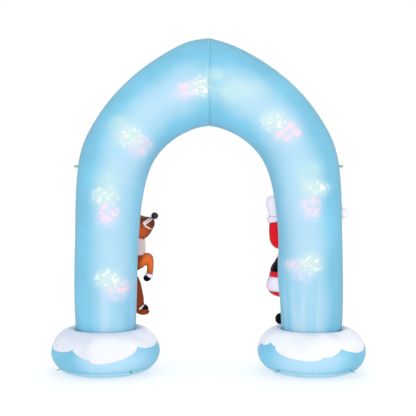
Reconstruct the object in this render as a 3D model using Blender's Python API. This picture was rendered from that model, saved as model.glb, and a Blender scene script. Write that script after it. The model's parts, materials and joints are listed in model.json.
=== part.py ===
"""Inflatable walk-through arch: two air-filled half arches on round cushions, with two air-filled figures.

Metres, +Z up. The origin is on the floor in the middle of the footprint. +X runs along the arch's span and
+Y points to the side that carries the figures. Every closed form is cloth blown tight by air, so each is
one filled solid, and neighbouring pieces stand GAP apart.
"""

import math

import bmesh
import bpy
from mathutils import Matrix, Vector

# ---------------------------------------------------------------- driving dimensions
GAP = 0.0003  # play between two pieces that touch
ARCH_Y = -0.068  # the arch's own plane, behind the middle of the footprint
LEG_X = 0.849  # axis of each leg and cushion
FOOT_Z = 0.335  # where a leg is sewn to its cushion
FOOT_RADIUS = 0.246

ARCH_SIDES = 24  # points around the tube
ARCH_STEPS = 26  # sections from the foot to the top seam
TUBE_SQUARENESS = 2.15  # 2 is a true ellipse, more is boxier
FOOT_SHARE = 0.15  # share of the half arch over which its round foot turns squarer
EDGE_SEARCH_STEPS = 400

# Sections of either half arch from the foot upwards, for the leg at +X.
# outer_x, outer_z, inner_x, inner_z, half_depth
ARCH_SECTIONS = (
    (LEG_X + FOOT_RADIUS, FOOT_Z, LEG_X - FOOT_RADIUS, FOOT_Z, FOOT_RADIUS),
    (1.103, 0.480, 0.597, 0.480, 0.252),
    (1.106, 0.700, 0.592, 0.700, 0.255),
    (1.104, 0.920, 0.588, 0.905, 0.257),
    (1.100, 1.130, 0.578, 1.100, 0.259),
    (1.096, 1.340, 0.563, 1.280, 0.261),
    (1.087, 1.545, 0.538, 1.455, 0.263),
    (1.066, 1.740, 0.508, 1.588, 0.265),
    (1.019, 1.900, 0.470, 1.692, 0.267),
    (0.948, 2.037, 0.424, 1.772, 0.269),
    (0.859, 2.172, 0.368, 1.838, 0.271),
    (0.753, 2.300, 0.304, 1.894, 0.273),
)
# The rest of each half, where the one at +X settles a little lower than the other beside the top seam.
CROWN_SECTIONS = {
    -1: (
        (0.631, 2.418, 0.236, 1.939, 0.275),
        (0.493, 2.527, 0.167, 1.974, 0.277),
        (0.336, 2.628, 0.103, 1.998, 0.279),
        (0.166, 2.709, 0.048, 2.011, 0.279),
        (0.000, 2.740, 0.000, 2.018, 0.276),
    ),
    1: (
        (0.631, 2.415, 0.236, 1.939, 0.275),
        (0.493, 2.519, 0.167, 1.974, 0.277),
        (0.336, 2.614, 0.103, 1.998, 0.279),
        (0.166, 2.693, 0.048, 2.011, 0.279),
        (0.000, 2.740, 0.000, 2.018, 0.276),
    ),
}
INNER_BULGE = {-1: 0.000, 1: 0.018}  # how far the leg at -X or +X swells into the walkway
BULGE_Z = 0.800
BULGE_REACH = 0.200

BASE_SIDES = 36
# Outline of a cushion from the middle of its underside to the middle of its top.
# radius, height
BASE_PROFILE = (
    (0.275, 0.000),
    (0.324, 0.008),
    (0.375, 0.034),
    (0.415, 0.076),
    (0.440, 0.130),
    (0.443, 0.180),
    (0.428, 0.232),
    (0.401, 0.280),
    (0.362, 0.320),
    (0.318, 0.345),
    (0.284, 0.350),
    (0.262, 0.341),
    (0.252, FOOT_Z - GAP),
)
SNOW_FIRST = 4  # the snow cap starts at this row of BASE_PROFILE and runs to the last
SNOW_THICK = 0.0020
EDGE_STEPS = 72  # steps round the scalloped edge
LOBE_FULLNESS = 2.2  # 2 is an arc of an ellipse, more is fuller

# The scalloped edge of a snow cap. Each lobe starts at its angle from the -Y side, positive towards +X,
# at the height of the notch there, and hangs down to low_z before the next notch.
# start_deg, notch_z, low_z
SCALLOPS = {
    -1: (
        (-76, 0.235, 0.203),
        (-31, 0.242, 0.188),
        (-10, 0.170, 0.152),
        (43, 0.262, 0.226),
        (84, 0.265, 0.190),
        (122, 0.255, 0.158),
        (170, 0.260, 0.200),
        (206, 0.245, 0.165),
        (250, 0.250, 0.205),
    ),
    1: (
        (-80, 0.255, 0.235),
        (-59, 0.272, 0.254),
        (-49, 0.248, 0.166),
        (5, 0.197, 0.196),
        (26, 0.252, 0.208),
        (56, 0.205, 0.210),
        (76, 0.250, 0.172),
        (122, 0.265, 0.205),
        (158, 0.250, 0.158),
        (206, 0.262, 0.200),
        (244, 0.240, 0.190),
    ),
}

# ---------------------------------------------------------------- straps and rings
STRAP_WIDTH = 0.018
STRAP_ROOT = 0.006  # how far the strap's stock is drawn past the seam before it is cut to the cloth
STRAP_PLY = 0.0012  # one layer of webbing
EYE_PLAY = 0.0005  # room for the ring's bar inside the strap's fold
EYE_SIDES = 10
RING_REACH = 0.0135  # from the middle of the bar in the fold to the middle of the far bar
RING_SPAN = 0.0245  # between the middles of the two short sides
RING_CORNER = 0.0020
RING_BAR = 0.0016  # half the thickness of the ring's bar
RING_BAR_SIDES = 6
CORNER_STEPS = 2
SIDE_STRAP_Z = 1.684
SIDE_STRAP_LENGTH = 0.031
STAKE_STRAP_LENGTH = 0.031
STAKE_SEAM_RADIUS = 0.3930  # where a stake strap leaves the cushion's lower seam
STAKE_SEAM_Z = 0.050
STAKE_DROOP = 12  # degrees below level
# Angle of each stake strap round its cushion, from the -Y side, positive towards +X.
# name, side, angle_deg
STAKE_STRAPS = (
    ("stake_left_outer", -1, -60),
    ("stake_left_inner", -1, 36),
    ("stake_right_inner", 1, -48),
    ("stake_right_outer", 1, 46),
)

# ---------------------------------------------------------------- the figures
FIGURE_Y = 0.370  # middle of both figures, measured from the arch's plane
LIMB_SIDES = 12
DOME_STEPS = 2  # rings that round off a limb's free end
DOME_REACH = 0.85  # length of that round end over its radius
BALL_SIDES = 14
BALL_ROWS = 9
HEAD_SIDES = 14
HEAD_SQUARENESS = 2.3
TORSO_SIDES = 20
TORSO_DEPTH = 0.66  # depth of the coat over its width

# The deer's head from the back of the skull to the tip of the snout.
# x, low_z, high_z, half_depth
DEER_HEAD = (
    (-0.862, 1.185, 1.275, 0.045),
    (-0.846, 1.130, 1.325, 0.090),
    (-0.795, 1.075, 1.368, 0.122),
    (-0.720, 1.048, 1.372, 0.130),
    (-0.650, 1.044, 1.325, 0.120),
    (-0.598, 1.050, 1.283, 0.104),
    (-0.552, 1.067, 1.266, 0.090),
    (-0.515, 1.103, 1.258, 0.076),
    (-0.494, 1.137, 1.254, 0.060),
    (-0.482, 1.162, 1.240, 0.038),
)
# Round forms of the deer.
# name, material, x, y, z, radius_x, radius_y, radius_z, lean_deg
DEER_BALLS = (
    ("deer_body", "brown", -0.835, 0.385, 0.800, 0.160, 0.160, 0.285, 12),
    ("deer_nose", "black", -0.469, FIGURE_Y, 1.265, 0.034, 0.034, 0.033, 0),
    ("deer_tail", "brown", -1.010, 0.395, 0.655, 0.060, 0.036, 0.034, 28),
)
# Limbs: each row is one section of the tube, and the piece that it belongs to changes where a seam runs.
# piece, x, y, z, radius
DEER_LIMBS = (
    (
        ("deer_chest", -0.668, FIGURE_Y, 1.030, 0.119),
        ("deer_chest", -0.660, FIGURE_Y, 0.985, 0.112),
        ("deer_chest", -0.668, FIGURE_Y, 0.930, 0.117),
    ),
    (
        ("deer_foreleg_rear", -0.730, FIGURE_Y, 0.820, 0.070),
        ("deer_foreleg_rear", -0.665, FIGURE_Y, 0.840, 0.065),
        ("deer_foreleg_rear", -0.612, FIGURE_Y, 0.859, 0.061),
        ("deer_foreleg_rear", -0.570, FIGURE_Y, 0.879, 0.055),
        ("deer_foreleg_rear", -0.532, FIGURE_Y, 0.893, 0.050),
        ("deer_foreleg_rear", -0.514, FIGURE_Y, 0.862, 0.038),
        ("deer_foreleg_rear", -0.508, FIGURE_Y, 0.812, 0.031),
        ("deer_foreleg_rear", -0.513, FIGURE_Y, 0.762, 0.032),
        ("deer_forecuff_rear", -0.513, FIGURE_Y, 0.762, 0.037),
        ("deer_forecuff_rear", -0.524, FIGURE_Y, 0.735, 0.037),
        ("deer_forehoof_rear", -0.524, FIGURE_Y, 0.735, 0.035),
        ("deer_forehoof_rear", -0.541, FIGURE_Y, 0.720, 0.031),
    ),
    (
        ("deer_foreleg_front", -0.760, 0.430, 0.860, 0.060),
        ("deer_foreleg_front", -0.705, 0.485, 0.835, 0.056),
        ("deer_foreleg_front", -0.690, 0.515, 0.765, 0.046),
        ("deer_foreleg_front", -0.692, 0.520, 0.700, 0.036),
        ("deer_forecuff_front", -0.692, 0.520, 0.700, 0.040),
        ("deer_forecuff_front", -0.698, 0.518, 0.672, 0.040),
        ("deer_forehoof_front", -0.698, 0.518, 0.672, 0.037),
        ("deer_forehoof_front", -0.707, 0.516, 0.650, 0.032),
    ),
    (
        ("deer_hindleg_rear", -0.765, FIGURE_Y, 0.752, 0.070),
        ("deer_hindleg_rear", -0.695, FIGURE_Y, 0.727, 0.066),
        ("deer_hindleg_rear", -0.658, FIGURE_Y, 0.682, 0.062),
        ("deer_hindleg_rear", -0.629, FIGURE_Y, 0.605, 0.053),
        ("deer_hindleg_rear", -0.609, FIGURE_Y, 0.545, 0.045),
        ("deer_hindleg_rear", -0.607, FIGURE_Y, 0.503, 0.044),
        ("deer_hindleg_rear", -0.590, FIGURE_Y, 0.474, 0.045),
        ("deer_hindcuff_rear", -0.590, FIGURE_Y, 0.474, 0.047),
        ("deer_hindcuff_rear", -0.576, FIGURE_Y, 0.463, 0.047),
        ("deer_hindhoof_rear", -0.576, FIGURE_Y, 0.463, 0.045),
        ("deer_hindhoof_rear", -0.554, FIGURE_Y, 0.452, 0.039),
    ),
    (
        ("deer_hindleg_front", -0.840, 0.440, 0.700, 0.085),
        ("deer_hindleg_front", -0.800, 0.470, 0.620, 0.060),
        ("deer_hindleg_front", -0.785, 0.475, 0.550, 0.047),
        ("deer_hindleg_front", -0.777, 0.475, 0.503, 0.044),
        ("deer_hindleg_front", -0.760, 0.475, 0.474, 0.045),
        ("deer_hindcuff_front", -0.760, 0.475, 0.474, 0.047),
        ("deer_hindcuff_front", -0.746, 0.475, 0.463, 0.047),
        ("deer_hindhoof_front", -0.746, 0.475, 0.463, 0.045),
        ("deer_hindhoof_front", -0.724, 0.475, 0.452, 0.039),
    ),
)
# Brown soles, which are one piece with their legs.
# name, x, y, z, radius_x, radius_y, radius_z, lean_deg
DEER_SOLES = (
    ("deer_hindleg_rear", -0.574, FIGURE_Y, 0.435, 0.062, 0.047, 0.034, 5),
    ("deer_hindleg_front", -0.744, 0.475, 0.435, 0.062, 0.047, 0.034, 5),
)
# Ears, and antlers of one beam and one tine each. They stand on both sides of the head.
# x, distance from the middle of the head, z, radius
DEER_EAR = (
    (-0.832, 0.055, 1.290, 0.022),
    (-0.858, 0.072, 1.352, 0.034),
    (-0.878, 0.080, 1.405, 0.028),
    (-0.892, 0.083, 1.442, 0.012),
)
DEER_BEAM = (
    (-0.775, 0.040, 1.340, 0.021),
    (-0.797, 0.054, 1.420, 0.021),
    (-0.792, 0.066, 1.495, 0.019),
    (-0.755, 0.071, 1.560, 0.015),
)
DEER_TINE = (
    (-0.797, 0.055, 1.425, 0.017),
    (-0.750, 0.061, 1.455, 0.016),
    (-0.722, 0.065, 1.490, 0.013),
)

SNOWMAN_X = 0.800
# Panels of the snowman's clothes, one above the other, each a stack of flattened rings.
# piece: (z, radius), from its lower seam to its upper one
SNOWMAN_PANELS = (
    (
        "snowman_trousers",
        "red",
        ((0.552, 0.110), (0.560, 0.170), (0.572, 0.225), (0.590, 0.258), (0.614, 0.280)),
    ),
    (
        "snowman_trim",
        "white",
        ((0.614, 0.283), (0.630, 0.294), (0.652, 0.298), (0.690, 0.293), (0.739, 0.276)),
    ),
    ("snowman_skirt", "red", ((0.739, 0.275), (0.762, 0.271), (0.785, 0.264))),
    ("snowman_belt", "black", ((0.785, 0.266), (0.826, 0.252), (0.868, 0.229))),
    (
        "snowman_coat",
        "red",
        (
            (0.868, 0.227),
            (0.895, 0.210),
            (0.940, 0.195),
            (1.000, 0.190),
            (1.060, 0.184),
            (1.110, 0.165),
            (1.145, 0.130),
            (1.160, 0.090),
        ),
    ),
)
# name, material, x, y, z, radius_x, radius_y, radius_z, lean_deg
SNOWMAN_BALLS = (
    ("snowman_pompom", "white", 1.171, FIGURE_Y, 1.286, 0.045, 0.045, 0.045, 0),
)
# piece, x, y, z, radius
SNOWMAN_LIMBS = (
    (
        ("snowman_sleeve_left", 0.740, FIGURE_Y, 1.065, 0.072),
        ("snowman_sleeve_left", 0.660, FIGURE_Y, 1.036, 0.070),
        ("snowman_sleeve_left", 0.604, FIGURE_Y, 1.056, 0.068),
        ("snowman_sleeve_left", 0.585, FIGURE_Y, 1.125, 0.058),
        ("snowman_sleeve_left", 0.576, FIGURE_Y, 1.210, 0.051),
        ("snowman_cuff_left", 0.576, FIGURE_Y, 1.210, 0.057),
        ("snowman_cuff_left", 0.568, FIGURE_Y, 1.235, 0.060),
        ("snowman_cuff_left", 0.567, FIGURE_Y, 1.258, 0.056),
        ("snowman_mitten_left", 0.567, FIGURE_Y, 1.258, 0.049),
        ("snowman_mitten_left", 0.569, FIGURE_Y, 1.300, 0.050),
        ("snowman_mitten_left", 0.562, FIGURE_Y, 1.362, 0.062),
        ("snowman_mitten_left", 0.554, FIGURE_Y, 1.396, 0.052),
    ),
    (
        ("snowman_sleeve_right", 0.900, FIGURE_Y, 1.075, 0.070),
        ("snowman_sleeve_right", 0.990, 0.400, 1.035, 0.064),
        ("snowman_sleeve_right", 1.055, 0.450, 0.970, 0.056),
        ("snowman_sleeve_right", 1.085, 0.495, 0.905, 0.050),
        ("snowman_cuff_right", 1.085, 0.495, 0.905, 0.055),
        ("snowman_cuff_right", 1.092, 0.510, 0.882, 0.058),
        ("snowman_cuff_right", 1.096, 0.520, 0.860, 0.054),
        ("snowman_mitten_right", 1.096, 0.520, 0.860, 0.047),
        ("snowman_mitten_right", 1.098, 0.530, 0.820, 0.050),
        ("snowman_mitten_right", 1.096, 0.535, 0.780, 0.046),
    ),
    (
        ("snowman_head", 0.828, FIGURE_Y, 1.200, 0.106),
        ("snowman_head", 0.828, FIGURE_Y, 1.240, 0.129),
        ("snowman_head", 0.828, FIGURE_Y, 1.290, 0.137),
        ("snowman_head", 0.828, FIGURE_Y, 1.338, 0.126),
        ("snowman_band", 0.828, FIGURE_Y, 1.338, 0.133),
        ("snowman_band", 0.832, FIGURE_Y, 1.360, 0.141),
        ("snowman_band", 0.836, FIGURE_Y, 1.385, 0.133),
        ("snowman_cap", 0.836, FIGURE_Y, 1.385, 0.121),
        ("snowman_cap", 0.862, FIGURE_Y, 1.450, 0.100),
        ("snowman_cap", 0.925, FIGURE_Y, 1.500, 0.076),
        ("snowman_cap", 1.005, FIGURE_Y, 1.495, 0.057),
        ("snowman_cap", 1.075, FIGURE_Y, 1.445, 0.042),
        ("snowman_cap", 1.118, FIGURE_Y, 1.385, 0.031),
        ("snowman_cap", 1.145, FIGURE_Y, 1.328, 0.024),
    ),
    (
        ("snowman_nose", 0.815, 0.470, 1.272, 0.023),
        ("snowman_nose", 0.808, 0.530, 1.268, 0.014),
        ("snowman_nose", 0.802, 0.575, 1.266, 0.005),
    ),
    (
        ("snowman_leg_left", 0.745, 0.355, 0.545, 0.070),
        ("snowman_leg_left", 0.740, 0.340, 0.495, 0.066),
        ("snowman_leg_left", 0.735, 0.330, 0.440, 0.060),
        ("snowman_boot_left", 0.735, 0.330, 0.440, 0.062),
        ("snowman_boot_left", 0.718, 0.320, 0.386, 0.062),
        ("snowman_boot_left", 0.664, 0.310, 0.376, 0.056),
        ("snowman_boot_left", 0.617, 0.300, 0.383, 0.050),
    ),
    (
        ("snowman_leg_right", 0.895, 0.355, 0.545, 0.070),
        ("snowman_leg_right", 0.895, 0.340, 0.495, 0.066),
        ("snowman_leg_right", 0.895, 0.330, 0.440, 0.060),
        ("snowman_boot_right", 0.895, 0.330, 0.440, 0.062),
        ("snowman_boot_right", 0.900, 0.340, 0.386, 0.062),
        ("snowman_boot_right", 0.915, 0.375, 0.376, 0.056),
        ("snowman_boot_right", 0.930, 0.408, 0.376, 0.048),
    ),
)

# ---------------------------------------------------------------- colours
# name: (colour, roughness)
FINISHES = {
    "pale_blue": ((0.29, 0.63, 0.82), 0.55),
    "white": ((0.90, 0.91, 0.94), 0.60),
    "brown": ((0.45, 0.09, 0.02), 0.55),
    "tan": ((0.60, 0.34, 0.14), 0.55),
    "cream": ((0.72, 0.60, 0.54), 0.60),
    "red": ((0.62, 0.01, 0.02), 0.55),
    "black": ((0.012, 0.011, 0.013), 0.50),
    "orange": ((0.85, 0.22, 0.02), 0.55),
    "green": ((0.05, 0.40, 0.30), 0.70),
    "plastic": ((0.70, 0.72, 0.74), 0.35),
}
PIECE_FINISHES = {
    "deer_chest": "cream",
    "deer_foreleg": "brown",
    "deer_hindleg": "brown",
    "deer_forecuff": "white",
    "deer_hindcuff": "white",
    "deer_forehoof": "black",
    "deer_hindhoof": "black",
    "snowman_sleeve": "red",
    "snowman_cuff": "white",
    "snowman_mitten": "white",
    "snowman_band": "white",
    "snowman_cap": "red",
    "snowman_nose": "orange",
    "snowman_head": "white",
    "snowman_leg": "red",
    "snowman_boot": "black",
}


def clear_scene():
    for old in list(bpy.data.objects):
        bpy.data.objects.remove(old)


def make_materials():
    materials = {}
    for name, (colour, roughness) in FINISHES.items():
        material = bpy.data.materials.new(name)
        material.use_nodes = True
        shader = material.node_tree.nodes["Principled BSDF"]
        shader.inputs["Base Color"].default_value = (*colour, 1.0)
        shader.inputs["Roughness"].default_value = roughness
        materials[name] = material
    return materials


def finish_of(piece):
    """The finish of a limb's piece, whose name may end in its side."""
    return next(finish for start, finish in PIECE_FINISHES.items() if piece.startswith(start))


def add_object(name, bm, material, stand):
    """Turns a bmesh into an object that hangs on the stand."""
    bmesh.ops.recalc_face_normals(bm, faces=bm.faces)
    mesh = bpy.data.meshes.new(name)
    bm.to_mesh(mesh)
    bm.free()
    mesh.materials.append(material)
    mesh.shade_smooth()
    mesh.set_sharp_from_angle(angle=math.radians(40))
    made = bpy.data.objects.new(name, mesh)
    bpy.context.scene.collection.objects.link(made)
    made.parent = stand
    return made


def add_helper(name, bm, stand):
    """A cutter or filler that is not a piece of the arch."""
    helper = add_object(name, bm, bpy.data.materials["white"], stand)
    hide_helper(helper)
    return helper


def hide_helper(helper):
    helper.hide_render = True
    helper.display_type = "WIRE"


def curve_through(rows, t):
    """The value at t, from 0 to 1, on a smooth curve through rows of numbers."""
    last = len(rows) - 1
    place = min(max(t, 0.0), 1.0) * last
    index = min(int(place), last - 1)
    local = place - index
    before = rows[max(index - 1, 0)]
    here, after = rows[index], rows[index + 1]
    beyond = rows[min(index + 2, last)]
    return tuple(
        0.5
        * (
            2 * b
            + (c - a) * local
            + (2 * a - 5 * b + 4 * c - d) * local**2
            + (3 * b - a - 3 * c + d) * local**3
        )
        for a, b, c, d in zip(before, here, after, beyond)
    )


def loft(rings, closed=False):
    """A skin through rings of points, with capped ends unless the rings close on themselves."""
    bm = bmesh.new()
    loops = []
    for ring in rings:
        verts = [bm.verts.new(point) for point in ring]
        loops.append([bm.edges.new(pair) for pair in zip(verts, verts[1:] + verts[:1])])
    pairs = list(zip(loops, loops[1:]))
    if closed:
        pairs.append((loops[-1], loops[0]))
    for first, second in pairs:
        bmesh.ops.bridge_loops(bm, edges=first + second)
    if not closed:
        bmesh.ops.edgeloop_fill(bm, edges=loops[0])
        bmesh.ops.edgeloop_fill(bm, edges=loops[-1])
    return bm


# ---------------------------------------------------------------- cutting one piece by its neighbours


def boolean(piece, other, operation):
    cut = piece.modifiers.new(f"{operation.lower()} {other.name}", "BOOLEAN")
    cut.operation = operation
    cut.solver = "EXACT"
    cut.object = other


def grown_copy(neighbour):
    """A helper with the neighbour's finished shape, pushed outwards by a little over GAP."""
    bpy.context.view_layer.update()
    graph = bpy.context.evaluated_depsgraph_get()
    mesh = bpy.data.meshes.new_from_object(neighbour.evaluated_get(graph))
    for vertex in mesh.vertices:
        vertex.co += vertex.normal * GAP * 1.5
    helper = bpy.data.objects.new(f"grown_{neighbour.name}", mesh)
    bpy.context.scene.collection.objects.link(helper)
    helper.parent = neighbour.parent
    hide_helper(helper)
    return helper


def seat_on(piece, *neighbour_names):
    """Cuts the piece back where it would lie inside its neighbours."""
    for name in neighbour_names:
        helper = bpy.data.objects.get(f"grown_{name}") or grown_copy(bpy.data.objects[name])
        boolean(piece, helper, "DIFFERENCE")
    return piece


# ---------------------------------------------------------------- the arch


def rounded(angle, power):
    """Cosine and sine of a superellipse of that power."""
    cosine, sine = math.cos(angle), math.sin(angle)
    return (
        math.copysign(abs(cosine) ** (2 / power), cosine),
        math.copysign(abs(sine) ** (2 / power), sine),
    )


def arch_ring(side, t):
    """The points of one section of the half arch at -X (side -1) or +X (side 1)."""
    outer_x, outer_z, inner_x, inner_z, half_depth = curve_through(ARCH_SECTIONS + CROWN_SECTIONS[side], t)
    swell = INNER_BULGE[side] * math.exp(-(((inner_z - BULGE_Z) / BULGE_REACH) ** 2))
    outer = Vector((outer_x, 0, outer_z))
    inner = Vector((inner_x - swell, 0, inner_z))
    middle, reach = (outer + inner) / 2, (outer - inner) / 2
    power = 2 + (TUBE_SQUARENESS - 2) * min(t / FOOT_SHARE, 1)
    ring = []
    for step in range(ARCH_SIDES):
        across, deep = rounded(math.tau * step / ARCH_SIDES, power)
        point = middle + reach * across
        ring.append((side * max(point.x, GAP / 2), half_depth * deep, point.z))
    return ring


def make_arch(side, name, material, stand):
    rings = [arch_ring(side, step / ARCH_STEPS) for step in range(ARCH_STEPS + 1)]
    return add_object(name, loft(rings), material, stand)


def outer_edge_at(side, height):
    """Distance of the arch's outer edge from the middle at a height."""
    sections = ARCH_SECTIONS + CROWN_SECTIONS[side]
    rows = [curve_through(sections, step / EDGE_SEARCH_STEPS) for step in range(EDGE_SEARCH_STEPS)]
    return min(rows, key=lambda row: abs(row[1] - height))[0]


# ---------------------------------------------------------------- the cushions


def base_ring(side, radius, height):
    return [
        (
            side * LEG_X + radius * math.sin(math.tau * step / BASE_SIDES),
            -radius * math.cos(math.tau * step / BASE_SIDES),
            height,
        )
        for step in range(BASE_SIDES)
    ]


def make_base(side, name, material, stand):
    rings = [base_ring(side, radius, height) for radius, height in BASE_PROFILE]
    return add_object(name, loft(rings), material, stand)


def raised_profile(offset):
    """The snow cap's part of the cushion's outline, moved outwards by offset."""
    rows = BASE_PROFILE[SNOW_FIRST:]
    raised = []
    for index, (radius, height) in enumerate(rows):
        before, after = rows[max(index - 1, 0)], rows[min(index + 1, len(rows) - 1)]
        along = Vector((after[0] - before[0], after[1] - before[1])).normalized()
        raised.append((radius + along.y * offset, height - along.x * offset))
    foot_radius = FOOT_RADIUS + 2 * GAP
    return [(max(radius, foot_radius), height) for radius, height in raised]


def edge_height(side, angle):
    """Height of the scalloped edge at an angle from the -Y side."""
    lobes = SCALLOPS[side]
    first = lobes[0][0]
    degrees = (math.degrees(angle) - first) % 360 + first
    index = max(i for i, lobe in enumerate(lobes) if lobe[0] <= degrees)
    start, notch, low = lobes[index]
    if index + 1 < len(lobes):
        end, next_notch = lobes[index + 1][:2]
    else:
        end, next_notch = first + 360, lobes[0][1]
    share = (degrees - start) / (end - start)
    chord = notch + (next_notch - notch) * share
    drop = (notch + next_notch) / 2 - low
    return chord - drop * (1 - abs(2 * share - 1) ** LOBE_FULLNESS) ** (1 / LOBE_FULLNESS)


def make_snow_cutter(side, stand):
    """A wall round the cushion whose top follows the scallops. It cuts away what lies below them."""
    inner, outer, bottom = 0.34, 0.50, -0.05
    rings = []
    for step in range(EDGE_STEPS):
        angle = math.tau * step / EDGE_STEPS
        top = edge_height(side, angle)
        corners = ((inner, bottom), (outer, bottom), (outer, top), (inner, top))
        rings.append(
            [
                (side * LEG_X + radius * math.sin(angle), -radius * math.cos(angle), height)
                for radius, height in corners
            ]
        )
    return add_helper(f"cutter_snow_{side}", loft(rings, closed=True), stand)


def make_snow(side, name, material, stand):
    under = raised_profile(GAP)
    over = raised_profile(GAP + SNOW_THICK)
    rings = [base_ring(side, *row) for row in under + over[::-1]]
    snow = add_object(name, loft(rings, closed=True), material, stand)
    boolean(snow, make_snow_cutter(side, stand), "DIFFERENCE")
    return snow


# ---------------------------------------------------------------- straps and rings


def strap_frame(seam, out, width_way):
    """Turns a strap's own (outwards, thickness, width) into world directions at its seam."""
    thickness_way = width_way.cross(out).normalized()
    turn = Matrix((out, thickness_way, width_way)).transposed().to_4x4()
    return Matrix.Translation(seam) @ turn


def make_strap(name, frame, length, material, stand):
    """A strap doubled round the ring's bar: a stem of two plies that opens into an eye."""
    eye_inner = RING_BAR + EYE_PLAY
    eye_outer = eye_inner + STRAP_PLY
    bm = bmesh.new()
    edges = []
    stem = [(-STRAP_ROOT, STRAP_PLY), (-STRAP_ROOT, -STRAP_PLY)]
    meeting = math.asin(STRAP_PLY / eye_outer)
    sweep = math.tau - 2 * meeting
    arc = [
        (
            length - eye_outer * math.cos(meeting + sweep * step / EYE_SIDES),
            -eye_outer * math.sin(meeting + sweep * step / EYE_SIDES),
        )
        for step in range(EYE_SIDES + 1)
    ]
    eye = [
        (
            length - eye_inner * math.cos(math.tau * step / EYE_SIDES),
            -eye_inner * math.sin(math.tau * step / EYE_SIDES),
        )
        for step in range(EYE_SIDES)
    ]
    for outline in (stem + arc, eye):
        verts = [bm.verts.new((u, v, -STRAP_WIDTH / 2)) for u, v in outline]
        edges += [bm.edges.new(pair) for pair in zip(verts, verts[1:] + verts[:1])]
    bmesh.ops.triangle_fill(bm, use_beauty=True, edges=edges)
    pushed = bmesh.ops.extrude_face_region(bm, geom=bm.faces[:])["geom"]
    moved = [item for item in pushed if isinstance(item, bmesh.types.BMVert)]
    bmesh.ops.translate(bm, vec=(0, 0, STRAP_WIDTH), verts=moved)
    bmesh.ops.transform(bm, matrix=frame, verts=bm.verts)
    return add_object(name, bm, material, stand)


def ring_path(length):
    """Middle line of the ring: a rectangle with round corners in the plane of the strap."""
    corners = (
        (length + RING_REACH, RING_SPAN / 2, 0),
        (length, RING_SPAN / 2, 90),
        (length, -RING_SPAN / 2, 180),
        (length + RING_REACH, -RING_SPAN / 2, 270),
    )
    middle = Vector((length + RING_REACH / 2, 0))
    path = []
    for u, w, start in corners:
        corner = Vector((u, w))
        centre = corner + Vector(
            (
                math.copysign(RING_CORNER, middle.x - u),
                math.copysign(RING_CORNER, middle.y - w),
            )
        )
        for step in range(CORNER_STEPS + 1):
            angle = math.radians(start + 90 * step / CORNER_STEPS)
            path.append(centre + RING_CORNER * Vector((math.cos(angle), math.sin(angle))))
    return path


def make_ring(name, frame, length, material, stand):
    path = ring_path(length)
    rings = []
    for index, here in enumerate(path):
        along = (path[(index + 1) % len(path)] - path[index - 1]).normalized()
        outwards = Vector((along.y, -along.x))
        ring = []
        for step in range(RING_BAR_SIDES):
            angle = math.tau * step / RING_BAR_SIDES
            flat = here + outwards * RING_BAR * math.cos(angle)
            ring.append(frame @ Vector((flat.x, RING_BAR * math.sin(angle), flat.y)))
        rings.append(ring)
    return add_object(name, loft(rings, closed=True), material, stand)


def make_tie_points(materials, stand):
    """Tether straps at the arch's outer seams, and stake straps at the foot of the cushions."""
    for side, word in ((-1, "left"), (1, "right")):
        seam = Vector((side * outer_edge_at(side, SIDE_STRAP_Z), 0, SIDE_STRAP_Z))
        frame = strap_frame(seam, Vector((side, 0, 0)), Vector((0, 0, 1)))
        make_tie(f"tether_{word}", frame, SIDE_STRAP_LENGTH, f"arch_{word}", materials, stand)
    for name, side, degrees in STAKE_STRAPS:
        angle, droop = math.radians(degrees), math.radians(STAKE_DROOP)
        level = Vector((math.sin(angle), -math.cos(angle), 0))
        seam = level * STAKE_SEAM_RADIUS + Vector((side * LEG_X, 0, STAKE_SEAM_Z))
        out = level * math.cos(droop) - Vector((0, 0, math.sin(droop)))
        frame = strap_frame(seam, out, Vector((-level.y, level.x, 0)))
        cushion = "base_left" if side < 0 else "base_right"
        make_tie(name, frame, STAKE_STRAP_LENGTH, cushion, materials, stand)


def make_tie(name, frame, length, carrier, materials, stand):
    strap = make_strap(f"{name}_strap", frame, length, materials["green"], stand)
    seat_on(strap, carrier)
    make_ring(f"{name}_ring", frame, length, materials["plastic"], stand)


# ---------------------------------------------------------------- the figures' forms


def make_ball(name, place, radii, lean, material, stand):
    """An egg form. A positive lean turns its top towards +X."""
    bm = bmesh.new()
    bmesh.ops.create_uvsphere(bm, u_segments=BALL_SIDES, v_segments=BALL_ROWS, radius=1)
    turn = Matrix.Rotation(math.radians(lean), 4, "Y")
    stretch = Matrix.Diagonal((*radii, 1))
    bmesh.ops.transform(bm, matrix=Matrix.Translation(place) @ turn @ stretch, verts=bm.verts)
    return add_object(name, bm, material, stand)


def ring_across(centre, along, radius):
    """A ring of points round a place, square to a direction."""
    sideways = Vector((0, 1, 0))
    if abs(along.y) > 0.9:
        sideways = Vector((1, 0, 0))
    second = along.cross(sideways).normalized()
    first = second.cross(along)
    return [
        centre
        + first * radius * math.cos(math.tau * step / LIMB_SIDES)
        + second * radius * math.sin(math.tau * step / LIMB_SIDES)
        for step in range(LIMB_SIDES)
    ]


def dome(centre, outwards, radius):
    """Rings that round off a tube's end, from the widest to the last."""
    rings = []
    for step in range(1, DOME_STEPS + 1):
        angle = math.pi / 2 * step / (DOME_STEPS + 0.5)
        place = centre + outwards * radius * DOME_REACH * math.sin(angle)
        rings.append(ring_across(place, outwards, radius * math.cos(angle)))
    return rings


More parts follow.
